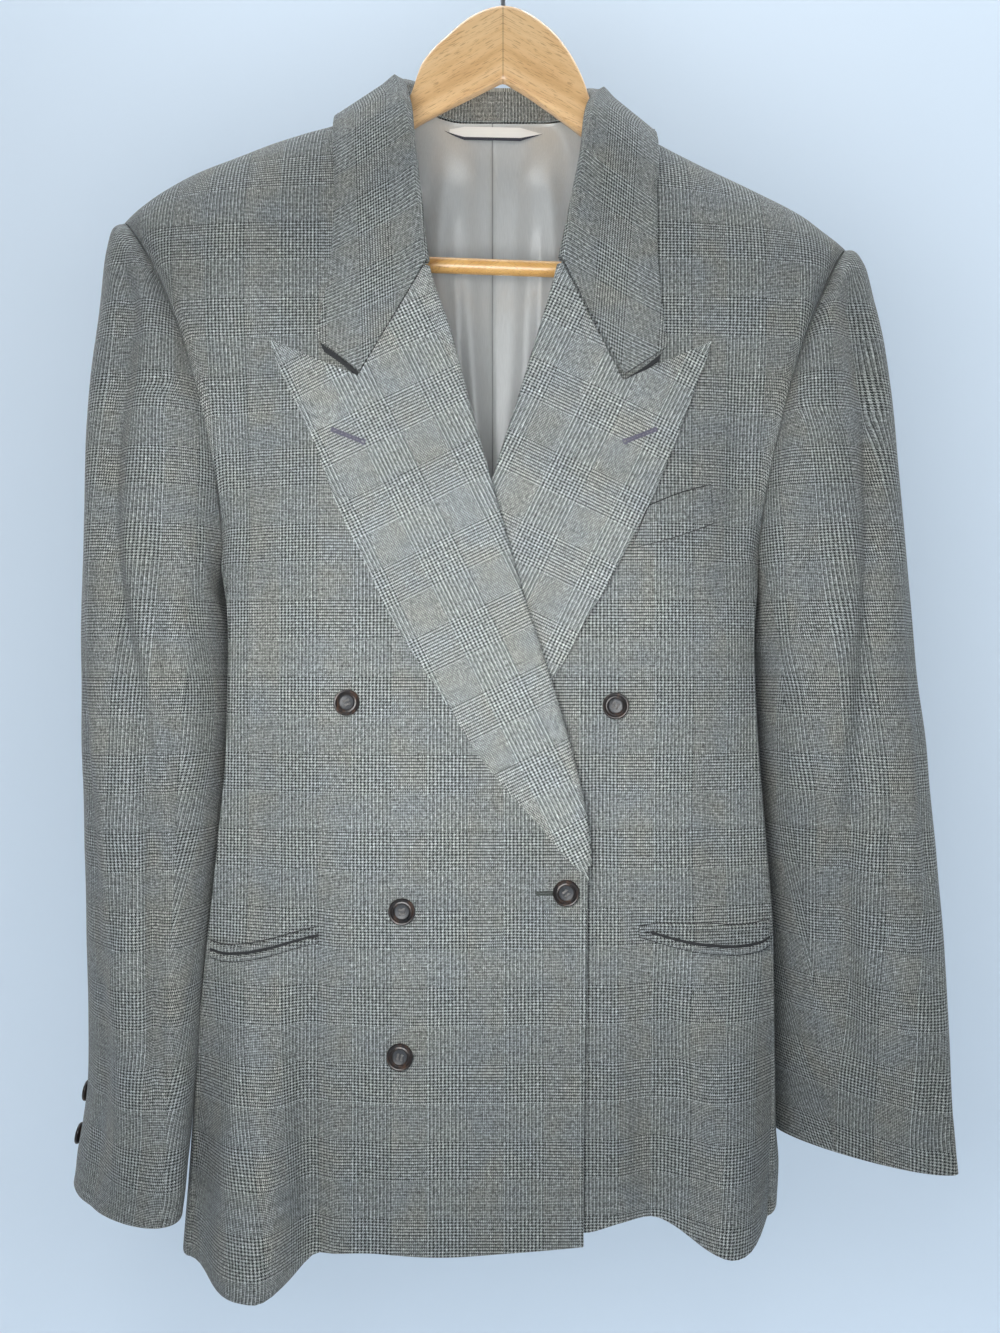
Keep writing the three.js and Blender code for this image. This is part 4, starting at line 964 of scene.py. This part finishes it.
def collarPlace(u, v):
    row = v * collarLast
    x, y, z, rimX, rimY, rimZ, bend, onFront = (line(row) for line in collarLines)
    edge, rim = Vector((x, y, z)), Vector((rimX, rimY, rimZ))
    isLeft = row < collarLast / 2
    surface = overY if isLeft else frontY
    shift = collarForm["leftShift"] if isLeft else collarForm["rightShift"]
    across = (rim - edge).normalized()

    def outAcross(p):
        field = outwardOf(p)
        return (field - across * field.dot(across)).normalized()

    if u < fold["share"]:
        along, off = foldAt(u, collarForm["extra"])
        return edge + across * (along - collarForm["beyond"]) + outAcross(edge) * off
    t = (u - fold["share"]) / (1 - fold["share"])
    base = edge.lerp(rim, t)
    k = kink(t, collarForm["notch"]) * bend
    base.x += k * shift[0]
    base.z += k * shift[1]
    out = outAcross(base)
    if onFront > 0.5 and base.z < ridge(base.x):
        base.y = min(base.y, surface(base.x, base.z))
    nearRidge = collarForm["lift"] * smooth(75, 35, ridge(base.x) - base.z)
    off = fold["over"] + mix(collarForm["lift"] + 0.4, nearRidge, onFront)
    off += collarForm["extra"] * smooth(0.25, 0, t)
    return base + out * off


def collarWeave(points, columns, rows):
    # along follows the neck; on the fronts the cloth lies flat and keeps its grain to the pointed ends
    weave = {}
    mid = columns // 2
    half = rows // 2
    along = running(rows, half, 0, lambda j: (points[mid, j] - points[mid, j - 1]).length)
    for j in range(rows):
        across = 0
        for i in range(columns):
            if i:
                across += (points[i, j] - points[i - 1, j]).length
            weave[i, j] = (along[j] * mm, -across * mm)
    flat = int(rows * collarForm["flatRows"] / collarLast)
    for joint, end in ((flat, 0), (rows - 1 - flat, rows - 1)):
        if points[mid, end].z > -250:
            continue
        run = points[mid, end] - points[mid, joint]
        run = Vector((run.x, 0, run.z)).normalized() * (1 if end else -1)
        rise = Vector((-run.z, 0, run.x))
        if rise.dot(points[columns - 1, joint] - points[0, joint]) >= 0:
            rise = -rise
        for j in range(min(joint, end), max(joint, end) + 1):
            for i in range(columns):
                d = points[i, j] - points[i, joint]
                start = weave[i, joint]
                weave[i, j] = (start[0] + d.dot(run) * mm, start[1] + d.dot(rise) * mm)
    return weave


clothPiece("collar", foldColumns(30, collarForm["notch"]), spaced(150), collarPlace, collarWeave, cloth,
           "lapel_cloth", form["lapel"], edge=1.1)


def standPlace(u, v):
    row = mix(collarForm["standRows"], collarLast - collarForm["standRows"], v)
    x, y, z = (line(row) for line in collarLines[:3])
    isBack = smooth(2, 8, y)
    footX = clamp(x * 1.02, left["neckX"] - 0.5, right["neckX"] - 1)
    footZ = min(z - 3, mix(ridge(footX) + 1.6, neckLine(footX) + 0.7, isBack))
    footY = mix(y, backY(footX, neckLine(footX)), isBack)
    inward = Vector((-x, mix(y * -0.6, -y * 1.6, isBack), 0)).normalized()
    p = Vector((footX, footY, footZ)).lerp(Vector((x, y, z - 1.0)), u)
    return p + inward * collarForm["standIn"]


clothPiece("collar_stand", spaced(8), spaced(60), standPlace, collarWeave, cloth, "lapel_cloth", form["cloth"])
print("collar ready")


# Satin lining, inside the back.
def liningPlace(side):
    back = panelPlace(side, backY, True)

    def place(u, v):
        height = mix(lining["hem"], lining["neck"], v)
        width = back(1, height).x
        p = back(mix(lining["seamX"] / width, lining["reach"], u), height)
        u = p.x / width
        fall = smooth(0.98, 0.86, height)
        lift = 0
        for at, half, deep in lining["folds"]:
            drift = at + 0.03 * math.sin(7 * v + 20 * at) + (0.012 if side is left else -0.01)
            lift += deep * hump(u, drift, half * (0.8 + 0.4 * v))
        seam = -lining["seamDeep"] * hump(p.x, lining["seamX"], 1.8)
        return p - outwardOf(p) * (lining["off"] + (1.2 + lift) * fall + seam * fall)

    return place


for word, side in sides.items():
    clothPiece(f"lining_{word}", spaced(60, [(0.0, 0.006)]), spaced(110), liningPlace(side),
               drapedWeave(side["sign"]), satin, "lining", lining["thick"], edge=0.2)
print("lining ready")


# Strips that lie on a panel: pocket jets, the facing inside an open pocket and the breast welt.
def lineOf(points):
    xs, zs = (curve([(i, p[k]) for i, p in enumerate(points)]) for k in (0, 1))
    last = len(points) - 1
    return lambda v: (xs(v * last), zs(v * last))


def stripPiece(name, surface, top, bottom, base, finish, slot, rise=0.2, count=40, thick=1.6, power=0.5, columns=8,
               replaced=False):
    low, high = lineOf(bottom), lineOf(top)

    def place(u, v):
        (x0, z0), (x1, z1) = low(v), high(v)
        x, z = mix(x0, x1, u), mix(z0, z1, u)
        dome = (1 - (2 * u - 1) ** 2) ** power if 0 < u < 1 else 0
        return Vector((x, surface(x, z) - base - rise * dome, z))

    clothPiece(name, spaced(columns), spaced(count), place, turnedWeave(0), finish, slot, thick, replaced,
               out=towardViewer, edge=0.4)


def lowered(line, dz):
    return [(x, z + dz) for x, z in line]


def widened(line, by=0.5):
    # a little longer at both ends
    (ax, az), *middle, (bx, bz) = line
    step = math.copysign(by, bx - ax)
    return [(ax - step, az), *middle, (bx + step, bz)]


slitLeft = [(-133, -762.5), (-152, -767), (-168, -771.5), (-186, -775.5), (-201, -777), (-212, -775)]
upperRight = [(98, -756.5), (120, -754.5), (147, -755), (172, -757), (193, -754.5)]
lowerRight = [(98, -759.5), (118, -765.5), (142, -770.5), (168, -772.8), (186, -771), (193, -767.5)]
weltTop, weltBottom = [(104, -455.5), (127, -446), (150, -439)], [(92, -486), (122, -478), (152, -467)]
# name, surface, line and height of the top edge, line and height of the bottom edge, distance off the cloth, swell
for name, surface, top, up, bottom, down, base, rise in (
        ("jet_upper_left", overY, slitLeft, 5.5, slitLeft, 0.4, 0.7, 2.0),
        ("jet_lower_left", overY, slitLeft, -1.6, slitLeft, -6, 0.7, 2.0),
        ("jet_upper_right", frontY, upperRight, 0, upperRight, -5, 0.7, 1.8),
        ("jet_lower_right", frontY, lowerRight, 0, lowerRight, -5, 0.8, 2.0),
        ("pocket_facing_right", frontY, upperRight, -5.2, lowerRight, 0.8, 0.5, 0.2)):
    # the facing inside the open pocket takes the darker copy of the cloth, painted shade
    finish = paintedShadeCloth if "facing" in name else cloth
    stripPiece(name, surface, lowered(top, up), lowered(bottom, down), base, finish, "cloth", rise, replaced=True)
# painted shadow: dark strips in the gaps of the mouths, and thin dark outlines round each jet and the welt, stand in
# for the shade there
for name, surface, top, up, bottom, down, base in (
        ("pocket_mouth_shadow_left", overY, slitLeft, 0.8, slitLeft, -2.0, 0.5),
        ("pocket_mouth_shadow_right", frontY, lowerRight, 1.9, lowerRight, -0.6, 0.9),
        ("pocket_edge_shadow_left", overY, slitLeft, 6.2, slitLeft, -6.6, 0.25),
        ("pocket_edge_shadow_upper_right", frontY, upperRight, 0.6, upperRight, -5.5, 0.3),
        ("pocket_edge_shadow_lower_right", frontY, lowerRight, -3, lowerRight, -5.6, 0.3),
        ("welt_edge_shadow", frontY, weltTop, 0.8, weltBottom, -0.5, 0.5)):
    stripPiece(name, surface, widened(lowered(top, up)), widened(lowered(bottom, down)), base, shadowCloth, "lining")
stripPiece("breast_welt", frontY, weltTop, weltBottom, 1.4, cloth, "lapel_cloth", 0.6, replaced=True, count=34,
           thick=1.8, power=0.25, columns=20)
print("pockets ready")

# Dark felt of the under collar, seen in the open notch between collar and peak, made dark enough to paint the shade
# in the notch as well.
notches = dict(
    left=(overY, [(-132, -337), (-116, -349), (-99, -363)], [(-129, -344), (-115, -354), (-100.5, -365.5)]),
    right=(frontY, [(114, -345), (100, -356), (84, -366)], [(112, -351), (99, -360), (84.5, -368.5)]))
for word, (surface, top, bottom) in notches.items():
    stripPiece(f"under_collar_{word}", surface, top, bottom, 3.2, shadowCloth, "lapel_cloth", thick=1.2)
print("notches ready")

# Buttons: a turned horn blank with a raised rim, a dished middle, four holes and a few turns of thread.
button = dict(holes=2.05, holeRadius=0.95, dish=5.0, dishAbove=1.5, threads=3, threadRadius=0.23, threadStep=0.42,
              threadHeight=2.25, stub=0.6, shank=(1.9, 1.6))
buttonProfile = [(0, 0), (6.8, 0), (8.3, 0.5), (9.2, 1.3), (9.5, 2.2), (9.3, 3.1), (8.7, 3.65), (8.0, 3.6),
                 (7.4, 3.15), (7.0, 2.75), (6.5, 2.85), (6.1, 2.95), (5.7, 2.75), (5.2, 2.3), (4.4, 2.05), (0, 1.95)]
holePlaces = [(button["holes"] * math.cos(math.radians(a)), button["holes"] * math.sin(math.radians(a)))
              for a in (45, 135, 225, 315)]


def buttonBlank():
    bm = bmesh.new()
    verts = [bm.verts.new((r * mm, 0, h * mm)) for r, h in buttonProfile]
    edges = [bm.edges.new(pair) for pair in zip(verts, verts[1:])]
    bmesh.ops.spin(bm, geom=verts + edges, cent=(0, 0, 0), axis=(0, 0, 1), angle=math.tau, steps=48, use_merge=True)
    bmesh.ops.remove_doubles(bm, verts=bm.verts[:], dist=0.00002)
    bmesh.ops.recalc_face_normals(bm, faces=bm.faces[:])
    drills = bmesh.new()
    for x, y in holePlaces:
        addRod(drills, button["holeRadius"], 8, moved(x, y, 1.5), 14)
    blank = addObject("button_blank", meshOf("button blank", bm))
    drill = addObject("button_drills", meshOf("button drills", drills))
    cut = blank.modifiers.new("holes", "BOOLEAN")
    cut.object = drill
    cut.solver = "EXACT"
    done = bpy.data.meshes.new_from_object(blank.evaluated_get(bpy.context.evaluated_depsgraph_get()))
    for o in (blank, drill):
        bpy.data.objects.remove(o)
    return done


blankMesh = buttonBlank()


def standingOn(point, normal, spin):
    z = Vector(normal).normalized()
    x = Vector((1, 0, 0)) if abs(z.x) < 0.9 else Vector((0, 0, 1))
    x = (x - z * x.dot(z)).normalized()
    turn = axes(x, z.cross(x), z)
    return Matrix.Translation(Vector(point) * mm) @ turn @ Matrix.Rotation(math.radians(spin), 4, "Z")


def buttonPiece(name, point, normal, spin, scale=1.0):
    at = standingOn(point, normal, spin) @ Matrix.Scale(scale, 4)
    bm = bmesh.new()
    bm.from_mesh(blankMesh)
    for face in bm.faces:
        centre = face.calc_center_median() / mm
        if centre.xy.length < button["dish"] and centre.z > button["dishAbove"]:
            face.material_index = 1
    bmesh.ops.transform(bm, matrix=at, verts=bm.verts[:])
    finishMesh(name, bm, [horn, dish], [name], angle=38)
    thread = bmesh.new()
    lying = Matrix.Rotation(math.radians(90), 4, "Y")
    for (ax, ay), (bx, by) in ((holePlaces[0], holePlaces[1]), (holePlaces[3], holePlaces[2])):
        for k in range(button["threads"]):
            lift = (k - 1) * button["threadStep"]
            addRod(thread, button["threadRadius"], abs(bx - ax) + 1.2,
                   moved((ax + bx) / 2, (ay + by) / 2 + lift, button["threadHeight"]) @ lying, 8)
    for x, y in holePlaces:
        addRod(thread, button["stub"], 2.9, moved(x, y, 0.9), 10)
    addRod(thread, button["shank"][0], 1.6, moved(0, 0, -0.6), 14, end=button["shank"][1])
    bmesh.ops.transform(thread, matrix=at, verts=thread.verts[:])
    finishMesh(f"{name}_thread", thread, threadWhite, angle=40)


def tiltOf(surface, x, z):
    step = 6
    dx = (surface(x + step, z) - surface(x - step, z)) / (2 * step)
    dz = (surface(x, z + step) - surface(x, z - step)) / (2 * step)
    return Vector((dx, -1, dz))


# name, x, z, surface, turn of the four holes, lean to the side and up
for name, x, z, surface, spin, leanX, leanZ in (
        ("button_top_left", -111, -596.4, overY, 20, 0.02, 0.10),
        ("button_top_right", 80.4, -598.7, frontY, 65, -0.05, 0.06),
        ("button_mid_left", -71.5, -743.5, overY, 8, 0.02, 0.10),
        ("button_fastened", 44.3, -730.4, overY, 38, 0.03, 0.03),
        ("button_low_left", -73.1, -846.9, overY, 80, 0.05, 0.16)):
    buttonPiece(name, (x, surface(x, z) - 0.7, z), tiltOf(surface, x, z) + Vector((leanX, 0, leanZ)), spin)


def sleeveRowAt(side, z):
    s = side["sleeve"]
    low, high = 0, lastRow
    for _ in range(30):
        mid = (low + high) / 2
        if (s["outZ"](mid) + s["inZ"](mid)) / 2 > z:
            low = mid
        else:
            high = mid
    return low


for name, side, z, deg in (
        ("cuff_button_left_1", left, -899, 99), ("cuff_button_left_2", left, -929, 99),
        ("cuff_button_right_1", right, -870, 152), ("cuff_button_right_2", right, -899, 152)):
    row = sleeveRowAt(side, z)
    along = sleevePoint(side, row, deg + 4) - sleevePoint(side, row, deg - 4)
    down = sleevePoint(side, row + 0.15, deg) - sleevePoint(side, row - 0.15, deg)
    normal = along.cross(down).normalized()
    normal = normal if normal.x * side["sign"] > 0 else -normal
    buttonPiece(name, sleevePoint(side, row, deg) + normal * 0.8, normal, 30, 0.84)
print("buttons ready")

# Buttonholes: close stitches on both sides of a slit, with a bar at both ends and an eye at one.
hole = dict(stitch=0.36, step=0.62, half=1.5, slit=0.12, eye=0.8, bar=0.5)


def buttonholePiece(name, start, end, finish, surface, off):
    bm = bmesh.new()
    a, b = Vector((start[0], 0, start[1])), Vector((end[0], 0, end[1]))
    along = (b - a).normalized()
    across = Vector((-along.z, 0, along.x))
    turn = axes(along, across.cross(along), across)

    def stitch(middle, rise, radius, length, segments):
        middle.y = surface(middle.x, middle.z) - off - rise
        addRod(bm, radius, length, Matrix.Translation(middle * mm) @ turn, segments)

    count = int((b - a).length / hole["step"])
    for k in range(count):
        t = (k + 0.5) / count
        away = hole["half"] / 2 + hole["slit"] + hole["eye"] * smooth(0.86, 1.0, t)
        for way in (-1, 1):
            stitch(a.lerp(b, t) + across * way * away, 0.22, hole["stitch"], hole["half"], 6)
    for place in (a, b):
        stitch(place.copy(), 0.3, hole["bar"], hole["half"] * 2.1, 8)
    finishMesh(name, bm, finish, angle=60)


for name, start, end, finish, surface, off in (
        ("buttonhole_lapel_left", (-122.5, -401.3), (-98.9, -410.6), threadPurple, overY, fold["over"] + 1.6),
        ("buttonhole_lapel_right", (109.6, -400.9), (85.9, -410.2), threadPurple, frontY, fold["over"] + 0.7),
        ("buttonhole_fastened", (23.5, -731.2), (47, -730.0), threadGreen, overY, 0)):
    buttonholePiece(name, start, end, finish, surface, off)
print("buttonholes ready")

# Blank label at the neck: a long hexagon with a narrow woven border below.
label = dict(start=-49, full=-31, fullEnd=14, end=32, half=4.8, left=-138.5, right=-140, off=0.5, borderOff=0.8,
             level=-145, clear=2.3, thick=0.35)


def labelHalf(x):
    point = label["start"] if x < label["full"] else label["end"]
    shoulder = clamp(x, label["full"], label["fullEnd"])
    return label["half"] if x == shoulder else label["half"] * (x - point) / (shoulder - point)


def labelPlace(low, high, off):
    def place(u, v):
        x = mix(label["start"], label["end"], u)
        z = mix(label["left"], label["right"], u) + max(0.05, labelHalf(x)) * mix(low, high, v)
        return Vector((x, backY(x, label["level"]) - lining["off"] - label["clear"] - off, z))

    return place


labelColumns = spaced(40, also=[round((label[k] - label["start"]) / (label["end"] - label["start"]), 5)
                                for k in ("full", "fullEnd")])
for name, rows, low, high, off, finish in (("label", 6, -0.8, 1, label["off"], labelWhite),
                                           ("label_border", 3, -1.25, -0.76, label["borderOff"], labelDark)):
    clothPiece(name, labelColumns, spaced(rows), labelPlace(low, high, off), turnedWeave(0), finish, "label",
               label["thick"], name == "label", out=towardViewer, edge=0.1)
print("label ready")

# Wooden hanger: x, top and bottom of the wood; the top follows the shoulders where it is left out.
hangerRows = [
    (-236, None, -219), (-230, None, -246), (-218, None, -268), (-204, None, -274), (-180, None, -269),
    (-176, None, -243), (-145, None, -206), (-112, None, -182), (-86, None, -164), (-75, -137, -158.5),
    (-72, -133, -156.5), (-62, -105.7, -150.5), (-42, -84, -140), (-22, -68.5, -130), (-7, -63, -122.5),
    (0, -62, -119.5), (7, -62.8, -123), (17, -66.3, -129), (37, -80.4, -143), (52, -99.3, -154), (61, -117, -161),
    (67, -134.5, -167), (69.5, -143, -169), (74, -147, -171), (84, None, -177), (112, None, -197), (145, None, -221),
    (176, None, -256), (180, None, -283), (204, None, -288), (216, None, -280), (226, None, -258), (231, None, -236)]
hanger = dict(half=6, clear=2.45, corner=0.42, barRadius=6, barHalf=177.5, barLeft=-256, barRight=-269, wire=2.1,
              bend=23, stemZ=-61.7, hookFrom=-78, hookTo=196)


def hangerTop(x, top):
    return ridge(x) - hanger["clear"] - 2 * smooth(190, 232, abs(x)) if top is None else top


topLine = curve([(x, hangerTop(x, top)) for x, top, _ in hangerRows])
bottomLine = curve([(x, low) for x, _, low in hangerRows])


def hangerPiece():
    bm = bmesh.new()
    bmesh.ops.create_grid(bm, x_segments=220, y_segments=24, size=1)
    first, last = hangerRows[0][0], hangerRows[-1][0]
    for vert in bm.verts:
        x = mix(first, last, (vert.co.x + 1) / 2)
        a = (vert.co.y + 1) / 2 * math.tau
        top, low = topLine(x), bottomLine(x)
        c, s = math.cos(a), math.sin(a)
        y = hanger["half"] * math.copysign(abs(s) ** hanger["corner"], s)
        z = (top + low) / 2 + (top - low) / 2 * math.copysign(abs(c) ** hanger["corner"], c)
        vert.co = Vector((x, y, z)) * mm
    bmesh.ops.remove_doubles(bm, verts=bm.verts[:], dist=0.000005)
    bmesh.ops.holes_fill(bm, edges=[e for e in bm.edges if e.is_boundary], sides=0)
    bmesh.ops.recalc_face_normals(bm, faces=bm.faces[:])
    finishMesh("hanger_body", bm, wood, ["hanger_body"], angle=40)


def rodPiece(name, path, radius, segments, finish):
    bm = bmesh.new()
    rings = []
    for k, p in enumerate(path):
        tangent = (path[min(len(path) - 1, k + 1)] - path[max(0, k - 1)]).normalized()
        side = Vector((0, 1, 0))
        at = Matrix.Translation(p * mm) @ axes(tangent.cross(side).normalized(), side, tangent)
        made = bmesh.ops.create_circle(bm, segments=segments, radius=radius * mm, matrix=at)
        rings.append(set(made["verts"]))
    for pair in zip(rings, rings[1:]):
        loops = [e for e in bm.edges if any(set(e.verts) <= ring for ring in pair)]
        bmesh.ops.bridge_loops(bm, edges=loops)
    bmesh.ops.holes_fill(bm, edges=[e for e in bm.edges if e.is_boundary], sides=0)
    bmesh.ops.recalc_face_normals(bm, faces=bm.faces[:])
    finishMesh(name, bm, finish, [name], angle=45)


hangerPiece()
barPath = []
for k in range(25):
    x = mix(-hanger["barHalf"], hanger["barHalf"], k / 24)
    barPath.append(Vector((x, 0, mix(hanger["barLeft"], hanger["barRight"], (x / hanger["barHalf"] + 1) / 2))))
rodPiece("hanger_bar", barPath, hanger["barRadius"], 24, barWood)
hookPath = [Vector((0, 0, z)) for z in (hanger["stemZ"], -54, -48)]
for k in range(56):
    a = math.radians(mix(hanger["hookFrom"], hanger["hookTo"], k / 55))
    hookPath.append(Vector((math.cos(a), 0, math.sin(a) - 1)) * hanger["bend"] + Vector((0, 0, hanger["wire"])))
rodPiece("hanger_hook", hookPath, hanger["wire"], 14, steel)
print("hanger ready")

# Plain room, soft light and the camera of the photograph.
room = dict(wallY=0.42, floorZ=-1.36, wide=6.0)


def roomFinish(name, low, high):
    f = Finish(name, Specular_IOR_Level=0.1)
    cloud = f.noise(f.place(), 1.4, 2.0)
    f.drive("Base Color", f.blend(cloud, low, high))
    f.drive("Roughness", 0.86 + 0.1 * cloud)
    return f


def stagePlane(name, finish, turn, location):
    bm = bmesh.new()
    bmesh.ops.create_grid(bm, x_segments=2, y_segments=2, size=room["wide"] / 2)
    bmesh.ops.transform(bm, matrix=Matrix.Translation(location) @ turn, verts=bm.verts[:])
    plane = addObject(name, meshOf(name, bm))
    plane.data.materials.append(finish.mat)
    return plane


wallFinish = roomFinish("pale wall", tone(222, 236, 250), tone(228, 240, 252))
# the wall is clear from its back, so that the blazer is seen from behind too
shown = wallFinish.node("ShaderNodeMixShader", {}, {
    0: wallFinish.node("ShaderNodeNewGeometry", {}, {}, "Backfacing"),
    1: Signal(wallFinish, wallFinish.shader.outputs[0]), 2: wallFinish.node("ShaderNodeBsdfTransparent")})
wallFinish.tree.links.new(shown.socket, wallFinish.tree.nodes["Material Output"].inputs["Surface"])
wall = stagePlane("wall", wallFinish, Matrix.Rotation(math.radians(90), 4, "X"), (0, room["wallY"], 0))
wall.visible_shadow = False
stagePlane("floor", roomFinish("pale floor", tone(214, 216, 218), tone(224, 226, 228)), Matrix.Identity(4),
           (0, 0, room["floorZ"]))


def areaLight(name, location, target, size, power, colour=(1, 1, 1)):
    data = bpy.data.lights.new(name, "AREA")
    data.shape = "RECTANGLE"
    data.size, data.size_y = size
    data.energy = power
    data.color = colour
    lamp = addObject(name, data)
    lamp.location = location
    lamp.rotation_mode = "QUATERNION"
    lamp.rotation_quaternion = (Vector(target) - Vector(location)).to_track_quat("-Z", "Y")
    lamp.visible_camera = False


areaLight("key", (-0.07, -0.62, -0.53), (-0.05, 0, -0.53), (0.35, 0.35), 4.9, (1.0, 1.0, 0.99))
areaLight("front", (-0.6, -2.4, 0.4), (0, 0, -0.4), (2.0, 1.2), 3, (1.0, 1.0, 1.0))
areaLight("top", (0.0, -0.35, 1.3), (0, 0, -0.4), (2.0, 1.0), 3, (0.97, 0.99, 1.0))
areaLight("skylight", (-0.2, -1.3, -1.3), (-0.1, 0.2, -0.95), (1.8, 0.4), 1.2, (0.3, 0.66, 1.0))
areaLight("backdrop", (0.0, 0.1, 1.3), (0, 0.42, -0.3), (3.0, 0.3), 38, (0.95, 0.98, 1.0))
areaLight("backdropLow", (0.0, 0.1, -1.9), (0, 0.42, -0.7), (3.0, 0.3), 20, (0.58, 0.82, 1.0))
areaLight("backdropRight", (1.6, 0.0, -0.2), (0.5, 0.42, -0.4), (0.3, 1.2), 7, (0.95, 0.98, 1.0))
areaLight("behind", (0.9, 1.9, 0.4), (0, 0, -0.5), (1.6, 1.6), 28, (0.97, 0.99, 1.0))
areaLight("behindLeft", (-1.5, 1.2, 0.1), (0, 0, -0.5), (1.2, 1.6), 18)
bpy.context.scene.view_settings.view_transform = "Standard"
world = bpy.data.worlds.new("soft sky")
world.use_nodes = True
sky = world.node_tree.nodes["Background"].inputs
sky["Color"].default_value = (0.82, 0.91, 1.0, 1)
sky["Strength"].default_value = 0.15
bpy.context.scene.world = world

view = dict(lens=28.51, sensor=36, location=(-0.0023, -0.815, -0.5705))
camera = bpy.data.cameras.new("camera")
camera.lens = view["lens"]
camera.sensor_width = view["sensor"]
cameraObject = addObject("camera", camera)
cameraObject.location = view["location"]
cameraObject.rotation_euler = (math.radians(90), 0, 0)
bpy.context.scene.camera = cameraObject
print("room and camera ready")
